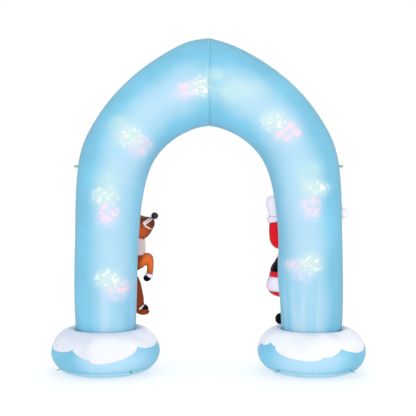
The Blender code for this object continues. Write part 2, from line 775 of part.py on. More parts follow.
def limb_pieces(rows):
    """Splits a limb into its pieces: name, and the rings of points of each."""
    points = [Vector(row[1:4]) for row in rows]
    ways = []
    for index, here in enumerate(points):
        before = [p for p in points[:index] if (p - here).length > GAP]
        after = [p for p in points[index + 1 :] if (p - here).length > GAP]
        start = before[-1] if before else here
        end = after[0] if after else here
        ways.append((end - start).normalized())
    pieces = {}
    last = len(rows) - 1
    for index, row in enumerate(rows):
        name, radius = row[0], row[4]
        centre, way = points[index], ways[index]
        if index > 0 and rows[index - 1][0] != name:
            centre = centre + way * GAP / 2
        if index < last and rows[index + 1][0] != name:
            centre = centre - way * GAP / 2
        rings = pieces.setdefault(name, [])
        if index == 0:
            # The dome's rings run the other way round, so each is turned back.
            rings += [turned_back(ring) for ring in dome(centre, -way, radius)][::-1]
        rings.append(ring_across(centre, way, radius))
        if index == last:
            rings += dome(centre, way, radius)
    return pieces


def turned_back(ring):
    """The same ring with its points in the other order and the same first point."""
    return ring[:1] + ring[:0:-1]


def make_limb(rows, materials, stand):
    for name, rings in limb_pieces(rows).items():
        add_object(name, loft(rings), materials[finish_of(name)], stand)


def make_tube(name, rows, offset_sign, material, stand):
    """An ear or antler beam: rows of x, distance from the head's middle, z and radius."""
    placed = [(name, x, FIGURE_Y + offset_sign * away, z, radius) for x, away, z, radius in rows]
    return add_object(name, loft(limb_pieces(placed)[name]), material, stand)


# ---------------------------------------------------------------- the deer


def make_deer_head(material, stand):
    rings = []
    for x, low, high, half_depth in DEER_HEAD:
        middle, half_height = (low + high) / 2, (high - low) / 2
        ring = []
        for step in range(HEAD_SIDES):
            deep, up = rounded(math.tau * step / HEAD_SIDES, HEAD_SQUARENESS)
            ring.append((x, FIGURE_Y + half_depth * deep, middle + half_height * up))
        rings.append(ring)
    return add_object("deer_head", loft(rings), material, stand)


def make_deer(materials, stand):
    objects = bpy.data.objects
    for name, finish, *numbers in DEER_BALLS:
        make_ball(name, numbers[:3], numbers[3:6], numbers[6], materials[finish], stand)
    make_deer_head(materials["brown"], stand)
    for rows in DEER_LIMBS:
        make_limb(rows, materials, stand)
    for name, *numbers in DEER_SOLES:
        sole = make_ball(f"sole_{name}", numbers[:3], numbers[3:6], numbers[6], materials["brown"], stand)
        hide_helper(sole)
        boolean(objects[name], sole, "UNION")
    for sign, word in ((-1, "rear"), (1, "front")):
        make_tube(f"deer_ear_{word}", DEER_EAR, sign, materials["brown"], stand)
        antler = make_tube(f"deer_antler_{word}", DEER_BEAM, sign, materials["tan"], stand)
        tine = make_tube(f"tine_{word}", DEER_TINE, sign, materials["tan"], stand)
        hide_helper(tine)
        boolean(antler, tine, "UNION")

    seat_on(objects["deer_head"], "arch_left")
    seat_on(objects["deer_body"], "arch_left", "deer_head")
    seat_on(objects["deer_tail"], "deer_body")
    seat_on(objects["deer_nose"], "deer_head")
    for word in ("rear", "front"):
        seat_on(objects[f"deer_ear_{word}"], "arch_left", "deer_head")
        seat_on(objects[f"deer_antler_{word}"], "deer_head")
    seat_on(objects["deer_foreleg_rear"], "deer_body")
    seat_on(objects["deer_foreleg_front"], "deer_body", "deer_foreleg_rear")
    seat_on(objects["deer_hindleg_rear"], "arch_left", "deer_body", "deer_foreleg_rear")
    seat_on(objects["deer_hindleg_front"], "deer_body", "deer_hindleg_rear")
    for word in ("rear", "front"):
        for part in ("hindcuff", "hindhoof"):
            seat_on(objects[f"deer_{part}_{word}"], f"sole_deer_hindleg_{word}")
    chest_neighbours = ("arch_left", "deer_body", "deer_head", "deer_foreleg_rear", "deer_foreleg_front")
    seat_on(objects["deer_chest"], *chest_neighbours)


# ---------------------------------------------------------------- the snowman


def make_panel(name, rows, material, stand):
    """One panel of the clothes: flattened rings from its lower seam to its upper one."""
    low, high = rows[0][0] + GAP / 2, rows[-1][0] - GAP / 2
    rings = []
    for z, radius in rows:
        height = min(max(z, low), high)
        rings.append(
            [
                (
                    SNOWMAN_X + radius * math.cos(math.tau * step / TORSO_SIDES),
                    FIGURE_Y + radius * TORSO_DEPTH * math.sin(math.tau * step / TORSO_SIDES),
                    height,
                )
                for step in range(TORSO_SIDES)
            ]
        )
    return add_object(name, loft(rings), material, stand)


def make_snowman(materials, stand):
    objects = bpy.data.objects
    for name, finish, rows in SNOWMAN_PANELS:
        seat_on(make_panel(name, rows, materials[finish], stand), "arch_right")
    for name, finish, *numbers in SNOWMAN_BALLS:
        make_ball(name, numbers[:3], numbers[3:6], numbers[6], materials[finish], stand)
    for rows in SNOWMAN_LIMBS:
        make_limb(rows, materials, stand)

    seat_on(objects["snowman_head"], "arch_right", "snowman_coat")
    seat_on(objects["snowman_band"], "arch_right")
    seat_on(objects["snowman_cap"], "arch_right", "snowman_pompom")
    seat_on(objects["snowman_nose"], "snowman_head")
    for word in ("left", "right"):
        seat_on(objects[f"snowman_sleeve_{word}"], "arch_right", "snowman_coat")
        seat_on(objects[f"snowman_leg_{word}"], "arch_right", "snowman_trousers")
        seat_on(objects[f"snowman_boot_{word}"], "arch_right", "base_right", "snow_right")


# ---------------------------------------------------------------- the whole arch


def main():
    clear_scene()
    materials = make_materials()
    stand = bpy.data.objects.new("arch_plane", None)
    bpy.context.scene.collection.objects.link(stand)
    stand.location = (0, ARCH_Y, 0)
    for side, word in ((-1, "left"), (1, "right")):
        make_arch(side, f"arch_{word}", materials["pale_blue"], stand)
        make_base(side, f"base_{word}", materials["pale_blue"], stand)
        make_snow(side, f"snow_{word}", materials["white"], stand)
    make_tie_points(materials, stand)
    make_deer(materials, stand)
    make_snowman(materials, stand)


main()
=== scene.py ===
# The finish of an inflatable walk-through arch on two round cushions, with a deer and a snowman sewn to its legs.
import json
import math
import bmesh
import bpy
from mathutils import Matrix, Vector, noise
from mathutils.bvhtree import BVHTree

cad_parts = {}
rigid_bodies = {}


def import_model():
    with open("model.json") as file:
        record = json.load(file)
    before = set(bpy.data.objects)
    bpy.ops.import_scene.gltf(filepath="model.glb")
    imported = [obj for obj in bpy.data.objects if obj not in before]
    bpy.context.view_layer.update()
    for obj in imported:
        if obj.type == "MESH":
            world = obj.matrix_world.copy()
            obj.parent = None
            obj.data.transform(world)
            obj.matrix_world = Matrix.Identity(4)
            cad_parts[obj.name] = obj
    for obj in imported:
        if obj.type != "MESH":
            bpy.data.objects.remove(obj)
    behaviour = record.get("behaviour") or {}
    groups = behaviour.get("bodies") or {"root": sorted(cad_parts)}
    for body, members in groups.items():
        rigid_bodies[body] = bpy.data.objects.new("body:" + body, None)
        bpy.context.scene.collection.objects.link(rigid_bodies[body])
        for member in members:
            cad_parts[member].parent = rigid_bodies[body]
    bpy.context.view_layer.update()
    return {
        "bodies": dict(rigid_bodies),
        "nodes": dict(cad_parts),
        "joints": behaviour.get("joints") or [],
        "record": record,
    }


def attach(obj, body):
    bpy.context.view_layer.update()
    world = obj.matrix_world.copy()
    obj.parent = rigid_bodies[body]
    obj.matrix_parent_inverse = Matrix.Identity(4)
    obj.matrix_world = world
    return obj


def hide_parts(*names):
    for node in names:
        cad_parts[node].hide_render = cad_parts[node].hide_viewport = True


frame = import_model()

planeY = -0.068  # the arch's own plane; the tables below measure y from it
smallGap = 0.0003  # play between pieces that touch
made = {}  # every finished piece by its node's name


# small tools


def curveThrough(rows, t):  # t runs 0 to 1 on a smooth curve through rows of numbers
    last = len(rows) - 1
    place = min(max(t, 0.0), 1.0) * last
    index = min(int(place), last - 1)
    part = place - index
    before, here = rows[max(index - 1, 0)], rows[index]
    after, beyond = rows[index + 1], rows[min(index + 2, last)]
    return [
        0.5 * (2 * b + (c - a) * part + (2 * a - 5 * b + 4 * c - d) * part**2 + (3 * b - a - 3 * c + d) * part**3)
        for a, b, c, d in zip(before, here, after, beyond)
    ]


def bunched(t, bunch, spots=1):  # steps crowd together at both ends, and between when there are more spots
    turns = math.tau * spots
    return t - bunch * math.sin(turns * t) / turns


def squared(angle, power):  # cosine and sine of a circle that turns boxier as the power grows past 2
    cosine, sine = math.cos(angle), math.sin(angle)
    return (
        math.copysign(abs(cosine) ** (2 / power), cosine),
        math.copysign(abs(sine) ** (2 / power), sine),
    )


def wobble(x, seed):  # an uneven wave, for gathers along a seam
    drift = noise.noise(Vector((x * 0.45, seed, 0.0)))
    strength = 0.65 + 0.6 * noise.noise(Vector((x * 0.31, seed + 7.0, 2.0)))
    return math.sin(math.tau * (x + 0.55 * drift)) * strength


def ringWobble(angle, waves, seed):  # the same wave round a ring, where it meets itself
    way = Vector((math.sin(angle), math.cos(angle), 0.0)) * (waves * 0.07)
    drift = noise.noise(way + Vector((0.0, 0.0, seed)))
    strength = 0.65 + 0.6 * noise.noise(way * 0.7 + Vector((5.0, 0.0, seed)))
    return math.sin(waves * angle + math.tau * 0.55 * drift) * strength


def unevenness(point, size, seed):
    return noise.noise(point / size + Vector((seed, seed * 0.7, seed * 1.3)))


def near(distance, width):  # 1 on a line and fading away from it
    return math.exp(-((distance / width) ** 2))


def wrapGrid(columns, rows, place):  # a flat grid rolled into a tube; place puts each point by around and along
    bm = bmesh.new()
    bm.loops.layers.uv.new("wrap")
    bmesh.ops.create_grid(bm, x_segments=columns, y_segments=rows, size=0.5, calc_uvs=True)
    for vert in bm.verts:
        vert.co = place(min(max(vert.co.x + 0.5, 0.0), 1.0), min(max(vert.co.y + 0.5, 0.0), 1.0))
    bmesh.ops.remove_doubles(bm, verts=bm.verts, dist=1e-5)
    return bm


def closeEnds(bm):
    bmesh.ops.holes_fill(bm, edges=[edge for edge in bm.edges if edge.is_boundary])
    bmesh.ops.recalc_face_normals(bm, faces=bm.faces)
    return bm


def placing(*columns):  # the matrix whose three ways and place are these
    return Matrix([(*column, float(index == 3)) for index, column in enumerate(columns)]).transposed()


def sweep(stations, sides, power=2.0):  # carries a round outline from one placing matrix to the next
    bm = bmesh.new()
    bmesh.ops.create_circle(bm, segments=sides, radius=1)
    for vert in bm.verts:
        vert.co = (*squared(math.atan2(vert.co.y, vert.co.x), power), 0)
    edges, last = bm.edges[:], stations[0]
    bmesh.ops.transform(bm, matrix=last, verts=bm.verts)
    for station in stations[1:]:
        pulled = bmesh.ops.extrude_edge_only(bm, edges=edges)["geom"]
        verts = [item for item in pulled if isinstance(item, bmesh.types.BMVert)]
        edges = [item for item in pulled if isinstance(item, bmesh.types.BMEdge)]
        bmesh.ops.transform(bm, matrix=station @ last.inverted(), verts=verts)
        last = station
    return closeEnds(bm)


def newObject(name, bm, material=None):
    mesh = bpy.data.meshes.new(name)
    bm.to_mesh(mesh)
    bm.free()
    mesh.shade_smooth()
    if material:
        mesh.materials.append(material)
    item = bpy.data.objects.new(name, mesh)
    bpy.context.scene.collection.objects.link(item)
    return item


def dress(piece, node, slot):  # every finished piece rides on the one body and stands for its node
    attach(piece, "root")
    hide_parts(node)
    made[node] = piece
    return piece


def pieceName(node):
    first, *others = node.split("_")
    return first + "".join(word.capitalize() for word in others)


# shader maths


class Wire:  # one output socket; arithmetic on it adds the Math or Vector Math nodes
    def __init__(self, tree, socket=None):
        self.tree = tree
        self.socket = socket

    def node(self, kind, settings, sockets, out=0):
        item = self.tree.nodes.new("ShaderNode" + kind)
        for name, value in settings.items():
            if name == "stops":
                for stop, (position, colour) in zip(item.color_ramp.elements, value):
                    stop.position, stop.color = position, colour
            else:
                setattr(item, name, value)
        for name, value in sockets.items():
            if isinstance(value, Wire):
                self.tree.links.new(value.socket, item.inputs[name])
            else:
                item.inputs[name].default_value = value
        return Wire(self.tree, item.outputs[out])

    def sum(self, operation, first, second=None):
        values = [value for value in (first, second) if value is not None]
        if any(isinstance(value, Wire) and value.socket.type == "VECTOR" for value in values):
            values = [(value,) * 3 if isinstance(value, (int, float)) else value for value in values]
            return self.node("VectorMath", {"operation": operation}, dict(enumerate(values)))
        return self.node("Math", {"operation": operation}, dict(enumerate(values)))

    def __add__(self, other):
        return self.sum("ADD", self, other)

    def __radd__(self, other):
        return self.sum("ADD", other, self)

    def __sub__(self, other):
        return self.sum("SUBTRACT", self, other)

    def __rsub__(self, other):
        return self.sum("SUBTRACT", other, self)

    def __mul__(self, other):
        return self.sum("MULTIPLY", self, other)

    def __rmul__(self, other):
        return self.sum("MULTIPLY", other, self)

    def rise(self, low, high):  # 0 below low, 1 above high, smooth between
        settings = {"interpolation_type": "SMOOTHSTEP"}
        return self.node("MapRange", settings, {0: self, 1: low, 2: high, 3: 0.0, 4: 1.0})

    def length(self):
        return self.node("VectorMath", {"operation": "LENGTH"}, {0: self}, 1)

    def dot(self, other):
        return self.node("VectorMath", {"operation": "DOT_PRODUCT"}, {0: self, 1: other}, 1)

    def part(self, axis):
        return self.node("SeparateXYZ", {}, {0: self}, axis)

    def blend(self, first, second):  # this wire is the share of the second colour
        return self.node("Mix", {"data_type": "RGBA"}, {0: self, 6: first, 7: second}, 2)


def tone(red, green, blue):  # screen values of 0 to 255 as a linear colour
    linear = [((v / 255 + 0.055) / 1.055) ** 2.4 if v > 10 else v / 255 / 12.92 for v in (red, green, blue)]
    return (*linear, 1.0)


weave = dict(thread=0.0011, depth=0.00004, crinkleSize=0.045, crinkleDepth=0.0012, rubSize=0.35)


def clothMaterial(
    name, colour, roughness, paint=None, crinkle=1.0, gloss=0.3, glow=0.0, lit=None, seam=0.4, edge=None
):
    material = bpy.data.materials.new(name)
    material.use_nodes = True
    tree = material.node_tree
    shader = tree.nodes["Principled BSDF"]
    start = Wire(tree)
    place = start.node("TexCoord", {}, {}, "Object")
    # broad patches where the dye and the light through the cloth differ a little
    rub = start.node("TexNoise", {}, {"Vector": place, "Scale": 1 / weave["rubSize"], "Detail": 3.0}, "Fac")
    deeper = tuple(channel * 0.86 for channel in colour[:3]) + (1.0,)
    finish = rub.rise(0.3, 0.75).blend(deeper, colour)
    if paint:
        finish = paint(start, place, finish)
    if edge:  # painted shade where the cloth turns away from both faces of the arch
        finish = (attribute(start, "edge") * 0.85).blend(finish, edge)
    seamColour = tuple(channel * 0.35 for channel in colour[:3]) + (1.0,)
    finish = (attribute(start, "seam") * seam).blend(finish, seamColour)
    shader.inputs["Roughness"].default_value = roughness
    shader.inputs["Specular IOR Level"].default_value = gloss
    tree.links.new(finish.socket, shader.inputs["Base Color"])
    # light from the lamps inside, or from the pale floor, that comes through the thin cloth
    through = attribute(start, lit).blend((0, 0, 0, 1), finish) if lit else finish
    tree.links.new(through.socket, shader.inputs["Emission Color"])
    shader.inputs["Emission Strength"].default_value = glow
    # crossing threads and soft crinkles
    turns = place * (math.tau / weave["thread"])
    threads = [start.sum("SINE", turns.part(axis)) for axis in (0, 1, 2)]
    crinkled = start.node(
        "TexNoise",
        {},
        {"Vector": place, "Scale": 1 / weave["crinkleSize"], "Detail": 4.0, "Roughness": 0.45},
        "Fac",
    )
    height = (threads[0] + threads[1] + threads[2]) * weave["depth"]
    height = height + crinkled * (weave["crinkleDepth"] * crinkle)
    bump = start.node("Bump", {}, {"Strength": 0.6, "Distance": 1.0, "Height": height})
    tree.links.new(bump.socket, shader.inputs["Normal"])
    return material


def attribute(start, name):
    return start.node("Attribute", {"attribute_name": name}, {}, "Fac")


def spot(place, centre, radii, soft=0.12):  # an oval seen square on, at x and z
    away = (place - (centre[0], 0.0, centre[1])) * (1 / radii[0], 0.0, 1 / radii[1])
    return 1 - away.length().rise(1 - soft, 1 + soft)


def band(place, start, end, width, soft=0.0015):  # a straight stripe with round ends, at x and z
    run = Vector((end[0] - start[0], 0.0, end[1] - start[1]))
    offset = (place - (start[0], 0.0, start[1])) * (1.0, 0.0, 1.0)
    share = offset.dot(tuple(run)) * (1 / run.length_squared)
    held = share.node("Clamp", {}, {0: share})
    nearest = held.node("CombineXYZ", {}, {0: held * run.x, 1: 0.0, 2: held * run.z})
    return 1 - (offset - nearest).length().rise(width / 2 - soft, width / 2 + soft)


# the two half arches

archCloth = dict(
    sections=(  # outerX, outerZ, innerX, innerZ, halfDepth, from the foot to the top seam
        (1.095, 0.335, 0.603, 0.335, 0.246),
        (1.103, 0.480, 0.597, 0.480, 0.252),
        (1.106, 0.700, 0.592, 0.700, 0.255),
        (1.104, 0.920, 0.588, 0.905, 0.257),
        (1.100, 1.130, 0.578, 1.100, 0.259),
        (1.096, 1.340, 0.563, 1.280, 0.261),
        (1.087, 1.545, 0.538, 1.455, 0.263),
        (1.066, 1.740, 0.508, 1.588, 0.265),
        (1.019, 1.900, 0.470, 1.692, 0.267),
        (0.948, 2.037, 0.424, 1.772, 0.269),
        (0.859, 2.172, 0.368, 1.838, 0.271),
        (0.753, 2.300, 0.304, 1.894, 0.273),
    ),
    crown={  # the rest of each half
        -1: (
            (0.631, 2.418, 0.236, 1.939, 0.275),
            (0.493, 2.527, 0.167, 1.974, 0.277),
            (0.336, 2.628, 0.103, 1.998, 0.279),
            (0.166, 2.709, 0.048, 2.011, 0.279),
            (0.000, 2.740, 0.000, 2.018, 0.276),
        ),
        1: (
            (0.631, 2.415, 0.236, 1.939, 0.275),
            (0.493, 2.519, 0.167, 1.974, 0.277),
            (0.336, 2.614, 0.103, 1.998, 0.279),
            (0.166, 2.693, 0.048, 2.011, 0.279),
            (0.000, 2.740, 0.000, 2.018, 0.276),
        ),
    },
    swell={-1: 0.0, 1: 0.018},  # how far each leg swells into the walkway
    swellZ=0.8,
    swellReach=0.2,
    squareness=2.15,
    footShare=0.15,
    footZ=0.335,
    length=2.9,  # along the tube
    girth=1.62,  # around it
    columns=128,
    columnBunch=0.7,
    rows=480,
    rowBunch=0.6,
    seamDepth=0.0035,
    seamWidth=0.006,
    gatherPitch=0.034,
    gatherDepth=0.0012,
    gatherReach=0.030,
    topDepth=0.0012,
    topGatherReach=0.045,
    footDepth=0.009,
    footWidth=0.009,
    footGather=0.0022,
    footGatherReach=0.055,
    footGatherPitch=0.041,
    fluteDepth=0.0048,  # long soft flutes that rise from the foot
    fluteReach=0.35,
    fluteSize=(0.085, 0.9),  # around the tube and along it
    unevenSize=0.32,
    unevenDepth=0.0022,
    rippleDepth=0.0023,
    ripplePitch=0.029,
    glowLean=(0.26, 0.10),  # the glow sits this share of the half width towards the walkway: legs, crown
    leanFade=(0.40, 0.75),  # the shares of the tube between which the one turns into the other
    glowFall=1.3,  # how fast it fades away from its middle
    crownShade={-1: 0.22, 1: 0.50},  # how much less light comes through beside the top seam
    crownReach=0.13,
    rimReach=0.100,  # the painted shade along both sides of the tube, where two cloths and the seam are seen edge on
    innerRim=0.35,  # its strength on the walkway's side
    seamLine=0.004,
    topStrip=0.010,  # the painted shade in a strip beside the top seam, on the right half
)
# stretches of fine ripples across the legs: side, middle x, middle z, reach x, reach z
ripples = ((-1, 0.765, 1.050, 0.150, 0.165), (1, 0.735, 1.105, 0.115, 0.140))
# where the lamps inside throw their flecks of light: x, z, reach x, reach z, strength
lampPatches = dict(
    whiteLight=(
        (-0.628, 1.913, 0.105, 0.085, 1.0),
        (-0.060, 2.310, 0.075, 0.080, 1.0),
        (0.520, 2.040, 0.105, 0.080, 1.0),
        (-0.825, 1.440, 0.105, 0.075, 1.0),
        (-0.800, 0.775, 0.100, 0.080, 1.0),
        (0.850, 1.500, 0.110, 0.065, 1.0),
        (0.815, 0.905, 0.090, 0.080, 1.0),
    ),
    pinkLight=(
        (-0.545, 1.850, 0.090, 0.070, 1.0),
        (-0.150, 2.290, 0.100, 0.062, 1.1),
        (0.625, 1.950, 0.110, 0.085, 1.0),
        (-0.800, 1.310, 0.085, 0.085, 1.0),
        (-0.735, 0.715, 0.100, 0.070, 1.0),
        (0.815, 1.370, 0.080, 0.085, 1.0),
        (0.705, 0.885, 0.090, 0.055, 1.0),
    ),
    lilacLight=(
        (-0.575, 1.775, 0.080, 0.045, 0.8),
        (-0.215, 2.235, 0.120, 0.055, 0.8),
        (-0.815, 1.230, 0.090, 0.050, 0.8),
        (-0.745, 0.635, 0.110, 0.050, 0.8),
        (0.815, 1.275, 0.080, 0.050, 0.9),
        (0.760, 0.800, 0.100, 0.050, 0.8),
    ),
    mintLight=(
        (0.060, 2.400, 0.100, 0.070, 0.7),
        (0.230, 2.280, 0.270, 0.110, 0.65),
        (-0.790, 1.560, 0.120, 0.100, 0.6),
        (0.800, 1.620, 0.130, 0.110, 0.6),
        (-0.700, 2.010, 0.130, 0.090, 0.6),
    ),
)


def archSection(side, t):  # a section's middle, its reach to the outer seam, its depth and its squareness
    s = archCloth
    outerX, outerZ, innerX, innerZ, depth = curveThrough(s["sections"] + s["crown"][side], t)
    swell = s["swell"][side] * near(innerZ - s["swellZ"], s["swellReach"])
    outer, inner = Vector((outerX, 0, outerZ)), Vector((innerX - swell, 0, innerZ))
    power = 2 + (s["squareness"] - 2) * min(t / s["footShare"], 1)
    return (outer + inner) / 2, (outer - inner) / 2, depth, power


def archPoint(side, section, around):
    middle, reach, depth, power = section
    across, deep = squared(math.tau * around, power)
    point = middle + reach * across
    return Vector((side * max(point.x, smallGap / 2), depth * deep, point.z))


def fromTopSeam(point, along):
    return abs(point.x) if along > 0.5 else 9.0  # the foot is never near it


def archRelief(side, around, along, point):  # how far the cloth stands out from the plain tube
    s = archCloth
    alongM, aroundM = along * s["length"], around * s["girth"]
    fromSide, fromFoot = abs(point.y), point.z - s["footZ"]
    fromTop = fromTopSeam(point, along)
    seed = 3.0 + side
    lift = s["unevenDepth"] * unevenness(point, s["unevenSize"], seed)
    # the seams along both edges, the top seam and the foot
    lift -= s["seamDepth"] * math.exp(-fromSide / s["seamWidth"])
    edge = 11.0 if abs(around - 0.5) < 0.25 else 17.0
    lift += s["gatherDepth"] * near(fromSide, s["gatherReach"]) * wobble(alongM / s["gatherPitch"], seed + edge)
    lift -= s["topDepth"] * math.exp(-fromTop / s["seamWidth"])
    lift += s["gatherDepth"] * near(fromTop, s["topGatherReach"]) * wobble(aroundM / s["gatherPitch"], seed + 5)
    lift -= s["footDepth"] * math.exp(-fromFoot / s["footWidth"])
    foot = near(fromFoot, s["footGatherReach"])
    lift += s["footGather"] * foot * wobble(aroundM / s["footGatherPitch"], seed + 9)
    wide, tall = s["fluteSize"]
    flute = noise.noise(Vector((aroundM / wide, seed, alongM / tall)))
    lift += s["fluteDepth"] * math.exp(-fromFoot / s["fluteReach"]) * flute
    for leg, x, z, reachX, reachZ in ripples:
        if leg == side:
            fade = near(point.x - side * x, reachX) * near(point.z - z, reachZ)
            bend = 0.35 * noise.noise(Vector((point.x / 0.11, point.y / 0.2, point.z / 0.25)))
            lift += s["rippleDepth"] * fade * math.sin(math.tau * (point.z / s["ripplePitch"] + bend))
    return lift


def glowAt(around, along):  # the band lit from inside, on both faces of the tube
    s = archCloth
    start, end = s["leanFade"]
    share = min(max((along - start) / (end - start), 0.0), 1.0)
    legs, crown = s["glowLean"]
    lean = legs + (crown - legs) * share * share * (3 - 2 * share)
    offset = (math.cos(math.tau * around) + lean) / (1 + lean)
    return max(0.0, 1 - s["glowFall"] * offset * offset)


def makeArch(side, node, material):
    s = archCloth
    sections, wraps = {}, {}

    def place(u, v):
        around, along = bunched(u, s["columnBunch"], 2), bunched(v, s["rowBunch"])
        if v not in sections:
            sections[v] = archSection(side, along)
        point = archPoint(side, sections[v], around)
        wraps[tuple(round(number, 5) for number in point)] = (around, along)
        return point

    bm = wrapGrid(s["columns"], s["rows"], place)
    closeEnds(bm)
    bm.normal_update()
    names = ("glow", "rim", "seam", "topSeam", *lampPatches)
    layers = {name: bm.verts.layers.float.new(name) for name in names}
    moves = []
    for vert in bm.verts:
        around, along = wraps[tuple(round(number, 5) for number in vert.co)]
        point = vert.co.copy()
        moves.append(vert.normal * archRelief(side, around % 1.0, along, point))
        fromTop = fromTopSeam(point, along)
        crownShade = s["crownShade"][side] * near(fromTop, s["crownReach"])
        vert[layers["glow"]] = glowAt(around, along) * (1 - crownShade)
        outerSide = abs(around - 0.5) > 0.25
        vert[layers["rim"]] = near(point.y, s["rimReach"]) * (1.0 if outerSide else s["innerRim"])
        closest = min(abs(point.y), point.z - s["footZ"])
        vert[layers["seam"]] = math.exp(-closest / s["seamLine"])
        vert[layers["topSeam"]] = (side > 0) * near(fromTop - s["topStrip"], s["topStrip"])
        for kind, patches in lampPatches.items():
            for x, z, reachX, reachZ, strength in patches:
                envelope = strength * near(math.hypot((point.x - x) / reachX, (point.z - z) / reachZ), 1.0)
                vert[layers[kind]] = max(vert[layers[kind]], envelope)
    for vert, move in zip(bm.verts, moves):
        vert.co += move
        vert.co.x = side * max(side * vert.co.x, smallGap / 2)
        vert.co.y += planeY
    return dress(newObject(pieceName(node), bm, material), node, "pale_blue_cloth")


def archPaint(start, place, finish):
    cloud = start.node("TexNoise", {}, {"Vector": place, "Scale": 3.2, "Detail": 2.0}, "Fac")
    tube = attribute(start, "glow") + (cloud - 0.5) * 0.35
    # painted light and shade of the shallow folds where the cloth hangs above the foot, as upright streaks in the
    # lit band
    drawnOut = place * (1.0, 1.0, 0.05)
    streak = start.node("TexNoise", {}, {"Vector": drawnOut, "Scale": 13.0, "Detail": 0.0}, "Fac")
    tube = tube + (streak.rise(0.42, 0.58) - 0.5) * (1 - place.part(2).rise(0.40, 1.00)) * 0.22
    # painted light: the paler band lit from inside
    finish = tube.rise(0.45, 1.15).blend(finish, tone(172, 207, 226))
    # painted shade along both sides of the tube
    finish = (attribute(start, "rim") * 0.9).blend(finish, tone(62, 134, 160))
    # painted shade beside the top seam, on the right half only
    finish = (attribute(start, "topSeam") * 0.6).blend(finish, tone(84, 172, 198))
    lights = (  # attribute, haze, its strength, flecks, their strength, size of a fleck, offset
        ("mintLight", tone(180, 214, 218), 0.85, tone(204, 226, 216), 0.25, 0.050, 3.1),
        ("lilacLight", tone(182, 206, 232), 0.60, tone(206, 206, 234), 0.7, 0.030, 7.7),
        ("pinkLight", tone(204, 210, 228), 0.75, tone(244, 206, 218), 0.85, 0.034, 11.3),
        ("whiteLight", tone(198, 219, 218), 0.85, tone(236, 242, 238), 0.85, 0.040, 17.9),
    )
    for name, haze, strength, fleck, fleckStrength, size, offset in lights:
        envelope = attribute(start, name)
        finish = (envelope.rise(0.0, 0.85) * strength).blend(finish, haze)
        blot, line = (
            start.node("TexNoise", {}, {"Vector": place + more, "Scale": 1 / size, "Detail": 0.6}, "Fac")
            for more in (offset, offset + 4.0)
        )
        if name == "whiteLight":  # short curly streaks
            fleckMask = (1 - ((line - 0.5) * (line - 0.5)).rise(0.0, 0.0105)) * blot.rise(0.44, 0.64)
        else:
            fleckMask = blot.rise(0.40, 0.74)
        finish = (fleckMask * envelope.rise(0.15, 0.6) * fleckStrength).blend(finish, fleck)
    return finish


# the cushions and their snow caps

cushion = dict(
    legX=0.849,
    widest=0.44,
    profile=(  # radius, height, from the underside to the top
        (0.275, 0.000),
        (0.324, 0.008),
        (0.375, 0.034),
        (0.415, 0.076),
        (0.440, 0.130),
        (0.443, 0.180),
        (0.428, 0.232),
        (0.401, 0.280),
        (0.362, 0.320),
        (0.318, 0.345),
        (0.284, 0.350),
        (0.262, 0.341),
        (0.252, 0.3347),
    ),
    columns=256,
    rows=84,
    hemHeight=0.052,  # the seam round the lower edge
    hemDepth=0.004,
    hemWidth=0.006,
    hemGathers=(0.0016, 0.035, 56),  # depth, reach and how many round the hem
    topGathers=(0.0022, 0.06, 38),  # the same round the leg's foot
    topRadius=0.25,
    panelSeams={-1: (90, 270), 1: (0, 90, 180, 270)},
    panelDepth=0.0022,
    panelWidth=1.1,  # in degrees
    panelMiddle=(0.17, 0.16),  # height and reach
    flatEdge=0.02,  # below this height the underside turns flat
    unevenSize=0.17,
    unevenDepth=0.0035,
    glowLean={-1: 0.25, 1: 0.12},  # the glow sits this share of the radius towards the walkway
    glowFall=1.2,
    glowMiddle=(0.15, 0.17),  # height and reach
    seamLine=0.004,
    seamFrom=0.35,  # radius outside which the hem's line is drawn
)

snowCap = dict(
    columns=288,
    rows=44,
    lift=0.0021,
    thick=0.0012,
    fullness=2.2,
    topShare=0.985,
    swell=0.0035,  # how far the lobes stand up above their sewn edge
    cut=0.95,  # the side of the piece that each is cut from
    shade={-1: (0.9, 0.65), 1: (0.6, 0.15)},  # round the leg's foot, and on the side away from the walkway
    footShade=(0.27, 0.09),  # radius and reach
    outerShade=(0.18, 0.035),  # where it starts, in shares of the radius, and how softly
    lobes={  # startDeg, notchZ, lowZ, from the -Y side towards +X
        -1: (
            (-76, 0.235, 0.203),
            (-31, 0.242, 0.188),
            (-10, 0.170, 0.152),
            (43, 0.262, 0.226),
            (84, 0.265, 0.190),
            (122, 0.255, 0.158),
            (170, 0.260, 0.200),
            (206, 0.245, 0.165),
            (250, 0.250, 0.205),
        ),
        1: (
            (-80, 0.255, 0.235),
            (-59, 0.272, 0.254),
            (-49, 0.248, 0.166),
            (5, 0.197, 0.196),
            (26, 0.252, 0.208),
            (56, 0.205, 0.210),
            (76, 0.250, 0.172),
            (122, 0.265, 0.205),
            (158, 0.250, 0.158),
            (206, 0.262, 0.200),
            (244, 0.240, 0.190),
        ),
    },
)


def scallopHeight(side, degrees):
    lobes = snowCap["lobes"][side]
    first = lobes[0][0]
    degrees = (degrees - first) % 360 + first
    index = max(i for i, lobe in enumerate(lobes) if lobe[0] <= degrees)
    start, notch, low = lobes[index]
    end, nextNotch = lobes[index + 1][:2] if index + 1 < len(lobes) else (first + 360, lobes[0][1])
    share = (degrees - start) / (end - start)
    drop = (notch + nextNotch) / 2 - low
    fullness = snowCap["fullness"]
    arc = (1 - abs(2 * share - 1) ** fullness) ** (1 / fullness)
    return notch + (nextNotch - notch) * share - drop * arc


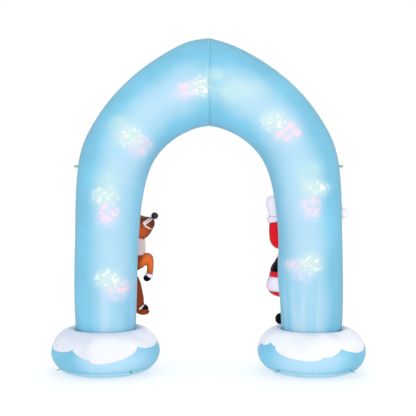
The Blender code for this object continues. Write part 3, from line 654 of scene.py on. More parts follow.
def cushionPoint(side, around, t, lift=0.0):  # a point on the cushion, or lift above its cloth
    s = cushion
    radius, height = curveThrough(s["profile"], t)
    ahead, behind = curveThrough(s["profile"], t + 0.004), curveThrough(s["profile"], t - 0.004)
    way = Vector((ahead[0] - behind[0], ahead[1] - behind[1])).normalized()
    out = Vector((way.y, -way.x))
    angle = math.tau * around
    flat = Vector((math.sin(angle), -math.cos(angle), 0))
    rest = flat * radius + Vector((0, 0, height))
    seed = 21.0 + side
    off = s["unevenDepth"] * unevenness(rest, s["unevenSize"], seed)
    off -= s["hemDepth"] * math.exp(-abs(height - s["hemHeight"]) / s["hemWidth"])
    depth, reach, count = s["hemGathers"]
    off += depth * near(height - s["hemHeight"], reach) * ringWobble(angle, count, seed)
    middle, reach = s["panelMiddle"]
    for degrees in s["panelSeams"][side]:
        turn = (math.degrees(angle) - degrees + 180) % 360 - 180
        off -= s["panelDepth"] * math.exp(-abs(turn) / s["panelWidth"]) * near(height - middle, reach)
    depth, reach, count = s["topGathers"]
    off += depth * near(radius - s["topRadius"], reach) * (height > 0.2) * ringWobble(angle, count, seed + 4)
    off *= min(height / s["flatEdge"], 1.0)
    radius, height = radius + out.x * (off + lift), height + out.y * (off + lift)
    return Vector((side * s["legX"], planeY, 0)) + flat * radius + Vector((0, 0, max(height, 0.0)))


def makeCushion(side, node, material):
    s = cushion
    bm = wrapGrid(s["columns"], s["rows"], lambda u, v: cushionPoint(side, u, v))
    closeEnds(bm)
    glow, seam = (bm.verts.layers.float.new(name) for name in ("glow", "seam"))
    middle, reach = s["glowMiddle"]
    for vert in bm.verts:
        level = Vector((vert.co.x - side * s["legX"], vert.co.y - planeY))
        offset = level.x / s["widest"] + side * s["glowLean"][side]  # both lit faces look along y
        vert[glow] = max(0.0, 1 - s["glowFall"] * offset * offset) * near(vert.co.z - middle, reach)
        hem = math.exp(-abs(vert.co.z - s["hemHeight"]) / s["seamLine"])
        vert[seam] = hem * (level.length > s["seamFrom"])
    return dress(newObject(pieceName(node), bm, material), node, "pale_blue_cloth")


def cushionPaint(start, place, finish):
    glow = attribute(start, "glow")
    cloud = start.node("TexNoise", {}, {"Vector": place, "Scale": 4.5, "Detail": 2.0}, "Fac")
    # painted light: the paler patch lit from inside
    finish = (glow + (cloud - 0.5) * 0.45).rise(0.2, 1.0).blend(finish, tone(170, 208, 230))
    # painted light from the pale floor on the strip below the hem
    below = 1 - place.part(2).rise(cushion["hemHeight"] - 0.012, cushion["hemHeight"] + 0.006)
    return (below * 0.6).blend(finish, tone(176, 218, 238))


def profileShareAt(height):  # where along the profile's rising side the cushion reaches a height
    low, high = 0.28, 0.78
    for _ in range(30):
        middle = (low + high) / 2
        if curveThrough(cushion["profile"], middle)[1] < height:
            low = middle
        else:
            high = middle
    return low


def makeSnow(side, node, material):
    s = snowCap
    starts = {}

    def place(u, v):
        if u not in starts:
            starts[u] = profileShareAt(scallopHeight(side, 360 * u))
        t = starts[u] + (s["topShare"] - starts[u]) * v
        plump = s["swell"] * (1 - math.exp(-((v * 6) ** 1.5))) * near(v, 0.55)
        return cushionPoint(side, u, t, s["lift"] + plump)

    bm = wrapGrid(s["columns"], s["rows"], place)
    bmesh.ops.recalc_face_normals(bm, faces=bm.faces)
    area = sum(face.calc_area() for face in bm.faces)
    hollow = bm.verts.layers.float.new("hollow")
    foot, outer = s["shade"][side]
    (radius, reach), (start, soft) = s["footShade"], s["outerShade"]
    # painted shade round the leg's foot and on the side away from the walkway
    for vert in bm.verts:
        level = Vector((vert.co.x - side * cushion["legX"], vert.co.y - planeY))
        beyond = side * level.x / cushion["widest"] - start
        vert[hollow] = foot * near(level.length - radius, reach) + outer / (1 + math.exp(-beyond / soft))
    bmesh.ops.solidify(bm, geom=bm.faces[:], thickness=s["thick"])
    piece = dress(newObject(pieceName(node), bm, material), node, "white_cloth")
    return piece


def snowPaint(start, place, finish):
    cloud = start.node("TexNoise", {}, {"Vector": place + 5.0, "Scale": 5.5, "Detail": 2.0}, "Fac")
    # painted shade round the leg's foot and on the side away from the walkway
    shade = (attribute(start, "hollow") + (cloud - 0.5) * 1.5).rise(0.15, 0.95)
    return (shade * 0.8).blend(finish, tone(200, 208, 224))


# the webbing straps and their rings

strap = dict(
    width=0.018,
    ply=0.0011,
    eye=0.0023,  # from the middle of the ring's bar to the middle of the webbing round it
    between=0.0014,  # from the middle of one ply to the middle of the other
    root=0.003,
    sideZ=1.684,
    sideX=1.0745,
    length=0.031,
    stakeRadius=0.3930,
    stakeZ=0.050,
    droop=12,
    runSteps=8,
    eyeSteps=24,
    edgePower=7.0,  # how square the webbing's edges are
    stakes=(  # name, side, degrees from the -Y side towards +X
        ("stake_left_outer", -1, -60),
        ("stake_left_inner", -1, 36),
        ("stake_right_inner", 1, -48),
        ("stake_right_outer", 1, 46),
    ),
)
ring = dict(reach=0.0135, span=0.0245, corner=0.0020, bar=0.0016, sides=16, cornerSteps=6)


def makeStrap(name, seat, material):  # seat is the matrix that puts a tie at its seam
    s = strap
    half = s["between"] / 2
    meeting = math.asin(half / s["eye"])
    turn = math.tau - 2 * meeting
    run = s["length"] - s["eye"] + s["root"]
    path = [(-s["root"] + run * step / s["runSteps"], half) for step in range(s["runSteps"] + 1)]
    back = [(u, -v) for u, v in reversed(path)]
    for step in range(1, s["eyeSteps"]):
        angle = meeting + turn * step / s["eyeSteps"]
        path.append((s["length"] - s["eye"] * math.cos(angle), s["eye"] * math.sin(angle)))
    path += back
    stations = []
    for index, (u, v) in enumerate(path):
        before, after = path[max(index - 1, 0)], path[min(index + 1, len(path) - 1)]
        way = Vector((after[0] - before[0], after[1] - before[1], 0)).normalized()
        across = Vector((way.y, -way.x, 0))
        width = Vector((0, 0, s["width"] / 2))
        stations.append(seat @ placing(across * s["ply"] / 2, width, way, Vector((u, v, 0))))
    bm = sweep(stations, 20, power=s["edgePower"])
    piece = dress(newObject(pieceName(name), bm, material), name, "green_webbing")
    cut = sum(math.dist(a, b) for a, b in zip(path, path[1:]))
    return piece


def makeRing(name, seat, material):
    s = ring
    length = strap["length"]
    corners = (
        (length + s["reach"], s["span"] / 2, 0),
        (length, s["span"] / 2, 90),
        (length, -s["span"] / 2, 180),
        (length + s["reach"], -s["span"] / 2, 270),
    )
    middle = length + s["reach"] / 2
    stations = []
    for u, w, start in corners:
        centre = Vector((u + math.copysign(s["corner"], middle - u), 0, w - math.copysign(s["corner"], w)))
        for step in range(s["cornerSteps"] + 1):
            angle = math.radians(start + 90 * step / s["cornerSteps"])
            out = Vector((math.cos(angle), 0, math.sin(angle)))
            thick, way = Vector((0, s["bar"], 0)), out.cross(Vector((0, 1, 0)))
            stations.append(seat @ placing(out * s["bar"], thick, way, centre + out * s["corner"]))
    bm = sweep(stations, s["sides"])
    ends = [face for face in bm.faces if len(face.verts) == s["sides"]]
    loops = [edge for face in ends for edge in face.edges]
    bmesh.ops.delete(bm, geom=ends, context="FACES_ONLY")
    bmesh.ops.bridge_loops(bm, edges=loops)
    bmesh.ops.recalc_face_normals(bm, faces=bm.faces)
    return dress(newObject(pieceName(name), bm, material), name, "clear_plastic")


def makeTies(webbing, plastic):
    s = strap
    ties = []
    for side, word in ((-1, "left"), (1, "right")):
        seam = Vector((side * s["sideX"], planeY, s["sideZ"]))
        ties.append((f"tether_{word}", seam, Vector((side, 0, 0)), Vector((0, 0, 1))))
    for name, side, degrees in s["stakes"]:
        angle, droop = math.radians(degrees), math.radians(s["droop"])
        level = Vector((math.sin(angle), -math.cos(angle), 0))
        seam = level * s["stakeRadius"] + Vector((side * cushion["legX"], planeY, s["stakeZ"]))
        out = level * math.cos(droop) - Vector((0, 0, math.sin(droop)))
        ties.append((name, seam, out, Vector((-level.y, level.x, 0))))
    for name, seam, out, widthWay in ties:
        thickWay = widthWay.cross(out).normalized()
        seat = placing(out, thickWay, widthWay, seam)
        makeRing(f"{name}_ring", seat, plastic)
        makeStrap(f"{name}_strap", seat, webbing)


# forms that both figures share

figure = dict(
    y=0.370,
    limbSides=40,
    step=0.010,
    domeRows=7,
    domeReach=0.85,
    seamRound=0.004,
    seat=0.0012,  # a form is cut this far clear of its neighbour, so that the cloths don't touch
    archSeat=0.0035,  # and this far clear of the tube, whose gathers stand out
    cushionSeat=(0.004, 0.001),  # above the plain cushion's cloth, and past that
    panelStep=0.009,
    softening=(3, 0.5),  # times and strength
    voxel=0.006,
    finerBelow=1800,  # a form with fewer points than this gets one subdivision
)
midY = figure["y"] + planeY  # the figures' middle plane, in the scene


def ringAt(centre, way, radius):  # the placing matrix of a round section square to a direction
    sideways = Vector((1, 0, 0)) if abs(way.y) > 0.9 else Vector((0, 1, 0))
    second = way.cross(sideways).normalized()
    first = second.cross(way)
    return placing(first * radius, second * radius, way * radius, centre)


def limbForms(rows):  # rows are (piece, x, y, z, radius); gives each piece's mesh
    path, pieces = [], {}
    for name, x, y, z, radius in rows:
        if not path or (Vector(path[-1]) - Vector((x, y, z))).length > 0.001:
            path.append((x, y, z))
        pieces.setdefault(name, []).append((len(path) - 1, radius))
    last = len(path) - 1
    meshes = {}
    for name, marks in pieces.items():
        first, end = marks[0][0], marks[-1][0]
        radii = [(radius,) for _, radius in marks]
        run = sum(math.dist(path[i], path[i + 1]) for i in range(first, end))
        count = max(4, round(run / figure["step"]))
        body = []
        for step in range(count + 1):
            p = first + (end - first) * step / count
            centre = Vector(curveThrough(path, p / last))
            ahead = Vector(curveThrough(path, min(p + 0.02, last) / last))
            behind = Vector(curveThrough(path, max(p - 0.02, 0) / last))
            body.append((centre, (ahead - behind).normalized(), curveThrough(radii, step / count)[0]))
        stations = endRows(*body[0], -1, first == 0)[::-1] + [ringAt(*row) for row in body[1:-1]]
        stations += endRows(*body[-1], 1, end == last)
        meshes[name] = sweep(stations, figure["limbSides"])
    return meshes


def softEdge():  # how far in and how much narrower each ring of a sewn edge is, from the form outwards
    soft = figure["seamRound"]
    for step in range(4):
        angle = math.pi / 2 * step / 3
        yield soft * (1 - math.sin(angle)), soft * (1 - math.cos(angle))


def endRows(centre, way, radius, sign, free):  # a limb's last rows: a dome, or a soft edge where it is sewn on
    rows = []
    if free:
        for step in range(figure["domeRows"] + 1):
            angle = math.pi / 2 * step / (figure["domeRows"] + 0.4)
            place = centre + way * sign * radius * figure["domeReach"] * math.sin(angle)
            rows.append(ringAt(place, way, radius * math.cos(angle)))
        return rows
    for inward, narrower in softEdge():
        rows.append(ringAt(centre - way * sign * (inward + smallGap), way, radius - narrower))
    return rows


def ballForm(x, y, z, radiusX, radiusY, radiusZ, lean):
    bm = bmesh.new()
    bmesh.ops.create_uvsphere(bm, u_segments=48, v_segments=32, radius=1)
    turn = Matrix.Rotation(math.radians(lean), 4, "Y")
    stretch = Matrix.Diagonal((radiusX, radiusY, radiusZ, 1))
    bmesh.ops.transform(bm, matrix=Matrix.Translation((x, y, z)) @ turn @ stretch, verts=bm.verts)
    return bm


def finished(item):  # the object's mesh with its modifiers applied
    bpy.context.view_layer.update()
    graph = bpy.context.evaluated_depsgraph_get()
    mesh = bpy.data.meshes.new_from_object(item.evaluated_get(graph))
    item.modifiers.clear()
    item.data = mesh
    return item


def cutterFrom(name, bm, grow):  # a hidden copy that stands a little proud, to cut the neighbours
    cutter = newObject(f"cutter_{name}", bm)
    for vertex, normal in zip(cutter.data.vertices, [v.normal.copy() for v in cutter.data.vertices]):
        vertex.co += normal * grow
    cutter.hide_render = True
    return cutter


forms = {}  # the carved forms by their nodes' names


def carve(name, bm, cuts=(), joins=()):  # seats a form on its neighbours
    item = newObject(f"form_{name}", bm)
    for others, operation in ((joins, "UNION"), (cuts, "DIFFERENCE")):
        for other in others:
            step = item.modifiers.new(other, "BOOLEAN")
            step.operation, step.solver = operation, "MANIFOLD"
            step.object = bpy.data.objects[f"cutter_{other}"]
    finished(item)
    forms[name] = item
    grown = bmesh.new()
    grown.from_mesh(item.data)
    cutterFrom(name, grown, figure["seat"])


def clothSkin(name):  # the carved form as an even skin of cloth, in its place
    item = forms[name]
    remesh = item.modifiers.new("remesh", "REMESH")
    remesh.mode, remesh.voxel_size = "VOXEL", figure["voxel"]
    smooth = item.modifiers.new("smooth", "SMOOTH")
    smooth.iterations, smooth.factor = figure["softening"]
    finished(item)
    item.data.transform(Matrix.Translation((0, planeY, 0)))
    item.name = pieceName(name)
    return item


def surfaceTree(item):
    bm = bmesh.new()
    bm.from_mesh(item.data)
    tree = BVHTree.FromBMesh(bm)
    bm.free()
    return tree


air = dict(
    pressure=4.0,
    frames=20,
    start=0.0022,  # how much smaller a piece is before the air goes in
    most=0.0042,  # the furthest that a point may move
    spare=-0.035,  # spare cloth, which gathers along the seams
    heldReach=0.0050,  # cloth this close to a neighbour is sewn to it
)


def blowUp(pieces, neighbours):  # sets every piece under air at once, and keeps the shape that the air gives it
    s = air
    trees = [(item, surfaceTree(item)) for item in [*pieces, *neighbours]]
    scene = bpy.context.scene
    for piece in pieces:
        held = piece.vertex_groups.new(name="held")
        sewn, loose = [], []
        others = [tree for item, tree in trees if item != piece]
        for vertex in piece.data.vertices:
            touches = any(tree.find_nearest(vertex.co, s["heldReach"])[0] for tree in others)
            (sewn if touches else loose).append(vertex.index)
        held.add(sewn, 1.0, "REPLACE")
        inward = [piece.data.vertices[index].normal * s["start"] for index in loose]
        for index, move in zip(loose, inward):
            piece.data.vertices[index].co -= move
        cloth = piece.modifiers.new("air", "CLOTH")
        cloth.collision_settings.use_collision = False
        cloth.settings.use_pressure = True
        cloth.settings.uniform_pressure_force = s["pressure"]
        cloth.settings.shrink_min = s["spare"]
        cloth.settings.effector_weights.gravity = 0
        cloth.settings.vertex_group_mass = "held"
    for frame in range(1, s["frames"] + 1):
        scene.frame_set(frame)
    graph = bpy.context.evaluated_depsgraph_get()
    for piece in pieces:
        blown = [vertex.co.copy() for vertex in piece.evaluated_get(graph).data.vertices]
        for vertex, place in zip(piece.data.vertices, blown):
            move = place - vertex.co
            vertex.co += move * min(1.0, s["most"] / max(move.length, 1e-6))
    for piece in pieces:
        piece.modifiers.clear()
        piece.vertex_groups.clear()
    scene.frame_set(1)


def sewSeam(piece, point, normal, depth=0.0016, width=0.0030):  # a crease where a plane crosses the cloth
    point, normal = Vector(point), Vector(normal)
    bm = bmesh.new()
    bm.from_mesh(piece.data)
    cut = bm.verts[:] + bm.edges[:] + bm.faces[:]
    bmesh.ops.bisect_plane(bm, geom=cut, dist=0.0003, plane_co=point, plane_no=normal)
    seam = bm.verts.layers.float.get("seam") or bm.verts.layers.float.new("seam")
    bm.normal_update()
    for vert in bm.verts:
        share = math.exp(-abs((vert.co - point).dot(normal)) / width)
        vert.co -= vert.normal * depth * share
        vert[seam] = max(vert[seam], share)
    bm.to_mesh(piece.data)
    bm.free()


def shadeEdge(piece):  # painted shade: less light where the cloth turns away from both faces of the arch
    bm = bmesh.new()
    bm.from_mesh(piece.data)
    edge = bm.verts.layers.float.new("edge")
    bm.normal_update()
    for vert in bm.verts:
        vert[edge] = near(vert.normal.y, 0.65)
    bm.to_mesh(piece.data)
    bm.free()


# the deer

deer = dict(
    head=(  # x, lowZ, highZ, halfDepth, from the back of the skull to the snout
        (-0.862, 1.185, 1.275, 0.045),
        (-0.846, 1.130, 1.325, 0.090),
        (-0.795, 1.075, 1.368, 0.122),
        (-0.720, 1.048, 1.372, 0.130),
        (-0.650, 1.044, 1.325, 0.120),
        (-0.598, 1.050, 1.283, 0.104),
        (-0.552, 1.067, 1.266, 0.090),
        (-0.515, 1.103, 1.258, 0.076),
        (-0.494, 1.137, 1.254, 0.060),
        (-0.482, 1.162, 1.240, 0.038),
    ),
    headSquareness=2.3,
    headSteps=44,
    headDome=0.012,  # how far the skull and the snout round out past the last rows
    body=(-0.835, 0.385, 0.800, 0.160, 0.160, 0.285, 12),  # x, y, z, radii, lean
    nose=(-0.469, 0.370, 1.265, 0.034, 0.034, 0.033, 0),
    tail=(-1.010, 0.395, 0.655, 0.060, 0.036, 0.034, 28),
    soles=(
        ("deer_hindleg_rear", -0.574, 0.370, 0.435, 0.062, 0.047, 0.034, 5),
        ("deer_hindleg_front", -0.744, 0.475, 0.435, 0.062, 0.047, 0.034, 5),
    ),
    limbs=(  # piece, x, y, z, radius
        (
            ("deer_chest", -0.668, 0.370, 1.030, 0.119),
            ("deer_chest", -0.660, 0.370, 0.985, 0.112),
            ("deer_chest", -0.668, 0.370, 0.930, 0.117),
        ),
        (
            ("deer_foreleg_rear", -0.730, 0.370, 0.820, 0.070),
            ("deer_foreleg_rear", -0.665, 0.370, 0.840, 0.065),
            ("deer_foreleg_rear", -0.612, 0.370, 0.859, 0.061),
            ("deer_foreleg_rear", -0.570, 0.370, 0.879, 0.055),
            ("deer_foreleg_rear", -0.532, 0.370, 0.893, 0.050),
            ("deer_foreleg_rear", -0.514, 0.370, 0.862, 0.038),
            ("deer_foreleg_rear", -0.508, 0.370, 0.812, 0.031),
            ("deer_foreleg_rear", -0.513, 0.370, 0.762, 0.032),
            ("deer_forecuff_rear", -0.513, 0.370, 0.762, 0.037),
            ("deer_forecuff_rear", -0.524, 0.370, 0.735, 0.037),
            ("deer_forehoof_rear", -0.524, 0.370, 0.735, 0.035),
            ("deer_forehoof_rear", -0.541, 0.370, 0.720, 0.031),
        ),
        (
            ("deer_foreleg_front", -0.760, 0.430, 0.860, 0.060),
            ("deer_foreleg_front", -0.705, 0.485, 0.835, 0.056),
            ("deer_foreleg_front", -0.690, 0.515, 0.765, 0.046),
            ("deer_foreleg_front", -0.692, 0.520, 0.700, 0.036),
            ("deer_forecuff_front", -0.692, 0.520, 0.700, 0.040),
            ("deer_forecuff_front", -0.698, 0.518, 0.672, 0.040),
            ("deer_forehoof_front", -0.698, 0.518, 0.672, 0.037),
            ("deer_forehoof_front", -0.707, 0.516, 0.650, 0.032),
        ),
        (
            ("deer_hindleg_rear", -0.765, 0.370, 0.752, 0.070),
            ("deer_hindleg_rear", -0.695, 0.370, 0.727, 0.066),
            ("deer_hindleg_rear", -0.658, 0.370, 0.682, 0.062),
            ("deer_hindleg_rear", -0.629, 0.370, 0.605, 0.053),
            ("deer_hindleg_rear", -0.609, 0.370, 0.545, 0.045),
            ("deer_hindleg_rear", -0.607, 0.370, 0.503, 0.044),
            ("deer_hindleg_rear", -0.590, 0.370, 0.474, 0.045),
            ("deer_hindcuff_rear", -0.590, 0.370, 0.474, 0.047),
            ("deer_hindcuff_rear", -0.576, 0.370, 0.463, 0.047),
            ("deer_hindhoof_rear", -0.576, 0.370, 0.463, 0.045),
            ("deer_hindhoof_rear", -0.554, 0.370, 0.452, 0.039),
        ),
        (
            ("deer_hindleg_front", -0.840, 0.440, 0.700, 0.085),
            ("deer_hindleg_front", -0.800, 0.470, 0.620, 0.060),
            ("deer_hindleg_front", -0.785, 0.475, 0.550, 0.047),
            ("deer_hindleg_front", -0.777, 0.475, 0.503, 0.044),
            ("deer_hindleg_front", -0.760, 0.475, 0.474, 0.045),
            ("deer_hindcuff_front", -0.760, 0.475, 0.474, 0.047),
            ("deer_hindcuff_front", -0.746, 0.475, 0.463, 0.047),
            ("deer_hindhoof_front", -0.746, 0.475, 0.463, 0.045),
            ("deer_hindhoof_front", -0.724, 0.475, 0.452, 0.039),
        ),
    ),
    ear=(  # x, distance from the middle of the head, z, radius
        (-0.832, 0.055, 1.290, 0.022),
        (-0.858, 0.072, 1.352, 0.034),
        (-0.878, 0.080, 1.405, 0.028),
        (-0.892, 0.083, 1.442, 0.012),
    ),
    beam=(
        (-0.775, 0.040, 1.340, 0.021),
        (-0.797, 0.054, 1.420, 0.021),
        (-0.792, 0.066, 1.495, 0.019),
        (-0.755, 0.071, 1.560, 0.015),
    ),
    tine=(
        (-0.797, 0.055, 1.425, 0.017),
        (-0.750, 0.061, 1.455, 0.016),
        (-0.722, 0.065, 1.490, 0.013),
    ),
)


def deerHeadForm():
    rows, count, dome = [], deer["headSteps"], deer["headDome"]
    for step in range(count + 1):
        x, low, high, depth = curveThrough(deer["head"], step / count)
        rows.append((x, (low + high) / 2, (high - low) / 2, depth))
    skull, snout = (
        [
            (x + sign * dome * math.sin(angle), middle, tall * math.cos(angle), deep * math.cos(angle))
            for angle in (math.pi / 2 * step / 5.3 for step in range(1, 6))
        ]
        for (x, middle, tall, deep), sign in ((rows[0], -1), (rows[-1], 1))
    )
    stations = []
    for x, middle, tall, deep in skull[::-1] + rows + snout:
        wide, high, way = Vector((0, deep, 0)), Vector((0, 0, tall)), Vector((0.05, 0, 0))
        stations.append(placing(wide, high, way, Vector((x, figure["y"], middle))))
    return sweep(stations, 56, deer["headSquareness"])


def standingPair(rows, sign, name):  # an ear or antler on one side of the head
    return limbForms([(name, x, figure["y"] + sign * away, z, radius) for x, away, z, radius in rows])[name]


def makeDeer():
    carve("deer_head", deerHeadForm(), cuts=("arch_left",))
    carve("deer_body", ballForm(*deer["body"]), cuts=("arch_left", "deer_head"))
    carve("deer_tail", ballForm(*deer["tail"]), cuts=("deer_body",))
    carve("deer_nose", ballForm(*deer["nose"]), cuts=("deer_head",))
    for sign, word in ((-1, "rear"), (1, "front")):
        carve(f"deer_ear_{word}", standingPair(deer["ear"], sign, "ear"), cuts=("arch_left", "deer_head"))
        cutterFrom(f"tine_{word}", standingPair(deer["tine"], sign, "tine"), 0.0)
        beam = standingPair(deer["beam"], sign, "beam")
        carve(f"deer_antler_{word}", beam, cuts=("deer_head",), joins=(f"tine_{word}",))
    limbs = {}
    for rows in deer["limbs"]:
        limbs.update(limbForms(rows))
    for name, *numbers in deer["soles"]:
        cutterFrom(f"sole_{name}", ballForm(*numbers), 0.0)
        cutterFrom(f"soleGrown_{name}", ballForm(*numbers), figure["seat"])
    for word in ("rear", "front"):
        beneath = ("deer_body",) if word == "rear" else ("deer_body", "deer_foreleg_rear")
        carve(f"deer_foreleg_{word}", limbs[f"deer_foreleg_{word}"], cuts=beneath)
        carve(f"deer_forecuff_{word}", limbs[f"deer_forecuff_{word}"])
        carve(f"deer_forehoof_{word}", limbs[f"deer_forehoof_{word}"])
    carve(
        "deer_hindleg_rear",
        limbs["deer_hindleg_rear"],
        cuts=("arch_left", "deer_body", "deer_foreleg_rear"),
        joins=("sole_deer_hindleg_rear",),
    )
    carve(
        "deer_hindleg_front",
        limbs["deer_hindleg_front"],
        cuts=("deer_body", "deer_hindleg_rear"),
        joins=("sole_deer_hindleg_front",),
    )
    for word in ("rear", "front"):
        for name in (f"deer_hindcuff_{word}", f"deer_hindhoof_{word}"):
            carve(name, limbs[name], cuts=(f"soleGrown_deer_hindleg_{word}",))
    beside = ("arch_left", "deer_body", "deer_head", "deer_foreleg_rear", "deer_foreleg_front")
    carve("deer_chest", limbs["deer_chest"], cuts=beside)


def deerCoatPaint(start, place, finish):  # painted light and shade: the coat is darker low down and towards the leg it leans on, where the arch shades it, so the bright lit colour stays on the raised foreleg
    dark = 1 - place.part(0).rise(-0.62, -0.55) * place.part(2).rise(0.66, 0.86)
    return (dark * 0.9).blend(finish, tone(126, 46, 17))


def deerChestPaint(start, place, finish):  # brown again below the bib
    return (1 - place.part(2).rise(0.924, 0.932)).blend(finish, tone(128, 50, 22))


def deerFacePaint(start, place, finish):  # painted light on the muzzle, brighter away from the arch's shade, then the lip, then the eye from white to glint
    finish = spot(place, (-0.568, 1.112), (0.066, 0.095), 0.9).blend(finish, tone(204, 88, 40))
    cream, milk = tone(220, 198, 196), tone(248, 240, 238)
    for begin, end, width in (
        ((-0.482, 1.252), (-0.549, 1.203), 0.029),
        ((-0.552, 1.196), (-0.543, 1.178), 0.011),
        ((-0.543, 1.178), (-0.497, 1.151), 0.011),
    ):
        finish = band(place, begin, end, width).blend(finish, milk)
    finish = band(place, (-0.486, 1.250), (-0.541, 1.210), 0.018).blend(finish, cream)
    finish = spot(place, (-0.668, 1.278), (0.024, 0.032)).blend(finish, milk)
    finish = spot(place, (-0.662, 1.272), (0.013, 0.020)).blend(finish, tone(20, 16, 16))
    return spot(place, (-0.657, 1.280), (0.004, 0.005)).blend(finish, milk)


# the snowman

snowman = dict(
    x=0.800,
    depth=0.66,
    panels=(  # piece, then (z, radius) from its lower seam to its upper one
        ("snowman_trousers", ((0.552, 0.110), (0.560, 0.170), (0.572, 0.225), (0.590, 0.258), (0.614, 0.280))),
        ("snowman_trim", ((0.614, 0.283), (0.630, 0.294), (0.652, 0.298), (0.690, 0.293), (0.739, 0.276))),
        ("snowman_skirt", ((0.739, 0.275), (0.762, 0.271), (0.785, 0.264))),
        ("snowman_belt", ((0.785, 0.266), (0.826, 0.252), (0.868, 0.229))),
        (
            "snowman_coat",
            (
                (0.868, 0.227),
                (0.895, 0.210),
                (0.940, 0.195),
                (1.000, 0.190),
                (1.060, 0.184),
                (1.110, 0.165),
                (1.145, 0.130),
                (1.160, 0.090),
            ),
        ),
    ),
    pompom=(1.171, 0.370, 1.286, 0.045, 0.045, 0.045, 0),
    limbs=(
        (
            ("snowman_sleeve_left", 0.740, 0.370, 1.065, 0.072),
            ("snowman_sleeve_left", 0.660, 0.370, 1.036, 0.070),
            ("snowman_sleeve_left", 0.604, 0.370, 1.056, 0.068),
            ("snowman_sleeve_left", 0.585, 0.370, 1.125, 0.058),
            ("snowman_sleeve_left", 0.576, 0.370, 1.210, 0.051),
            ("snowman_cuff_left", 0.576, 0.370, 1.210, 0.057),
            ("snowman_cuff_left", 0.568, 0.370, 1.235, 0.060),
            ("snowman_cuff_left", 0.567, 0.370, 1.258, 0.056),
            ("snowman_mitten_left", 0.567, 0.370, 1.258, 0.049),
            ("snowman_mitten_left", 0.569, 0.370, 1.300, 0.050),
            ("snowman_mitten_left", 0.562, 0.370, 1.362, 0.062),
            ("snowman_mitten_left", 0.554, 0.370, 1.396, 0.052),
        ),
        (
            ("snowman_sleeve_right", 0.900, 0.370, 1.075, 0.070),
            ("snowman_sleeve_right", 0.990, 0.400, 1.035, 0.064),
            ("snowman_sleeve_right", 1.055, 0.450, 0.970, 0.056),
            ("snowman_sleeve_right", 1.085, 0.495, 0.905, 0.050),
            ("snowman_cuff_right", 1.085, 0.495, 0.905, 0.055),
            ("snowman_cuff_right", 1.092, 0.510, 0.882, 0.058),
            ("snowman_cuff_right", 1.096, 0.520, 0.860, 0.054),
            ("snowman_mitten_right", 1.096, 0.520, 0.860, 0.047),
            ("snowman_mitten_right", 1.098, 0.530, 0.820, 0.050),
            ("snowman_mitten_right", 1.096, 0.535, 0.780, 0.046),
        ),
        (
            ("snowman_head", 0.828, 0.370, 1.200, 0.106),
            ("snowman_head", 0.828, 0.370, 1.240, 0.129),
            ("snowman_head", 0.828, 0.370, 1.290, 0.137),
            ("snowman_head", 0.828, 0.370, 1.338, 0.126),
            ("snowman_band", 0.828, 0.370, 1.338, 0.133),
            ("snowman_band", 0.832, 0.370, 1.360, 0.141),
            ("snowman_band", 0.836, 0.370, 1.385, 0.133),
            ("snowman_cap", 0.836, 0.370, 1.385, 0.121),
            ("snowman_cap", 0.862, 0.370, 1.450, 0.100),
            ("snowman_cap", 0.925, 0.370, 1.500, 0.076),
            ("snowman_cap", 1.005, 0.370, 1.495, 0.057),
            ("snowman_cap", 1.075, 0.370, 1.445, 0.042),
            ("snowman_cap", 1.118, 0.370, 1.385, 0.031),
            ("snowman_cap", 1.145, 0.370, 1.328, 0.024),
        ),
        (
            ("snowman_nose", 0.815, 0.470, 1.272, 0.023),
            ("snowman_nose", 0.808, 0.530, 1.268, 0.014),
            ("snowman_nose", 0.802, 0.575, 1.266, 0.005),
        ),
        (
            ("snowman_leg_left", 0.745, 0.355, 0.545, 0.070),
            ("snowman_leg_left", 0.740, 0.340, 0.495, 0.066),
            ("snowman_leg_left", 0.735, 0.330, 0.440, 0.060),
            ("snowman_boot_left", 0.735, 0.330, 0.440, 0.062),
            ("snowman_boot_left", 0.718, 0.320, 0.386, 0.062),
            ("snowman_boot_left", 0.664, 0.310, 0.376, 0.056),
            ("snowman_boot_left", 0.617, 0.300, 0.383, 0.050),
        ),
        (
            ("snowman_leg_right", 0.895, 0.355, 0.545, 0.070),
            ("snowman_leg_right", 0.895, 0.340, 0.495, 0.066),
            ("snowman_leg_right", 0.895, 0.330, 0.440, 0.060),
            ("snowman_boot_right", 0.895, 0.330, 0.440, 0.062),
            ("snowman_boot_right", 0.900, 0.340, 0.386, 0.062),
            ("snowman_boot_right", 0.915, 0.375, 0.376, 0.056),
            ("snowman_boot_right", 0.930, 0.408, 0.376, 0.048),
        ),
    ),
)


def panelForm(rows):  # flattened rings, with soft edges at the two seams
    soft = figure["seamRound"]
    low, high = rows[0][0] + smallGap, rows[-1][0] - smallGap
    count = max(6, round((high - low) / figure["panelStep"]))
    rings = [(low + inward, rows[0][1] - narrower) for inward, narrower in softEdge()][::-1]
    for step in range(1, count):
        z, radius = curveThrough(rows, step / count)
        if low + soft < z < high - soft:
            rings.append((z, radius))
    rings += [(high - inward, rows[-1][1] - narrower) for inward, narrower in softEdge()]
    stations = []
    for z, radius in rings:
        wide, deep = Vector((radius, 0, 0)), Vector((0, radius * snowman["depth"], 0))
        stations.append(placing(wide, deep, Vector((0, 0, 0.05)), Vector((snowman["x"], figure["y"], z))))
    return sweep(stations, 72)


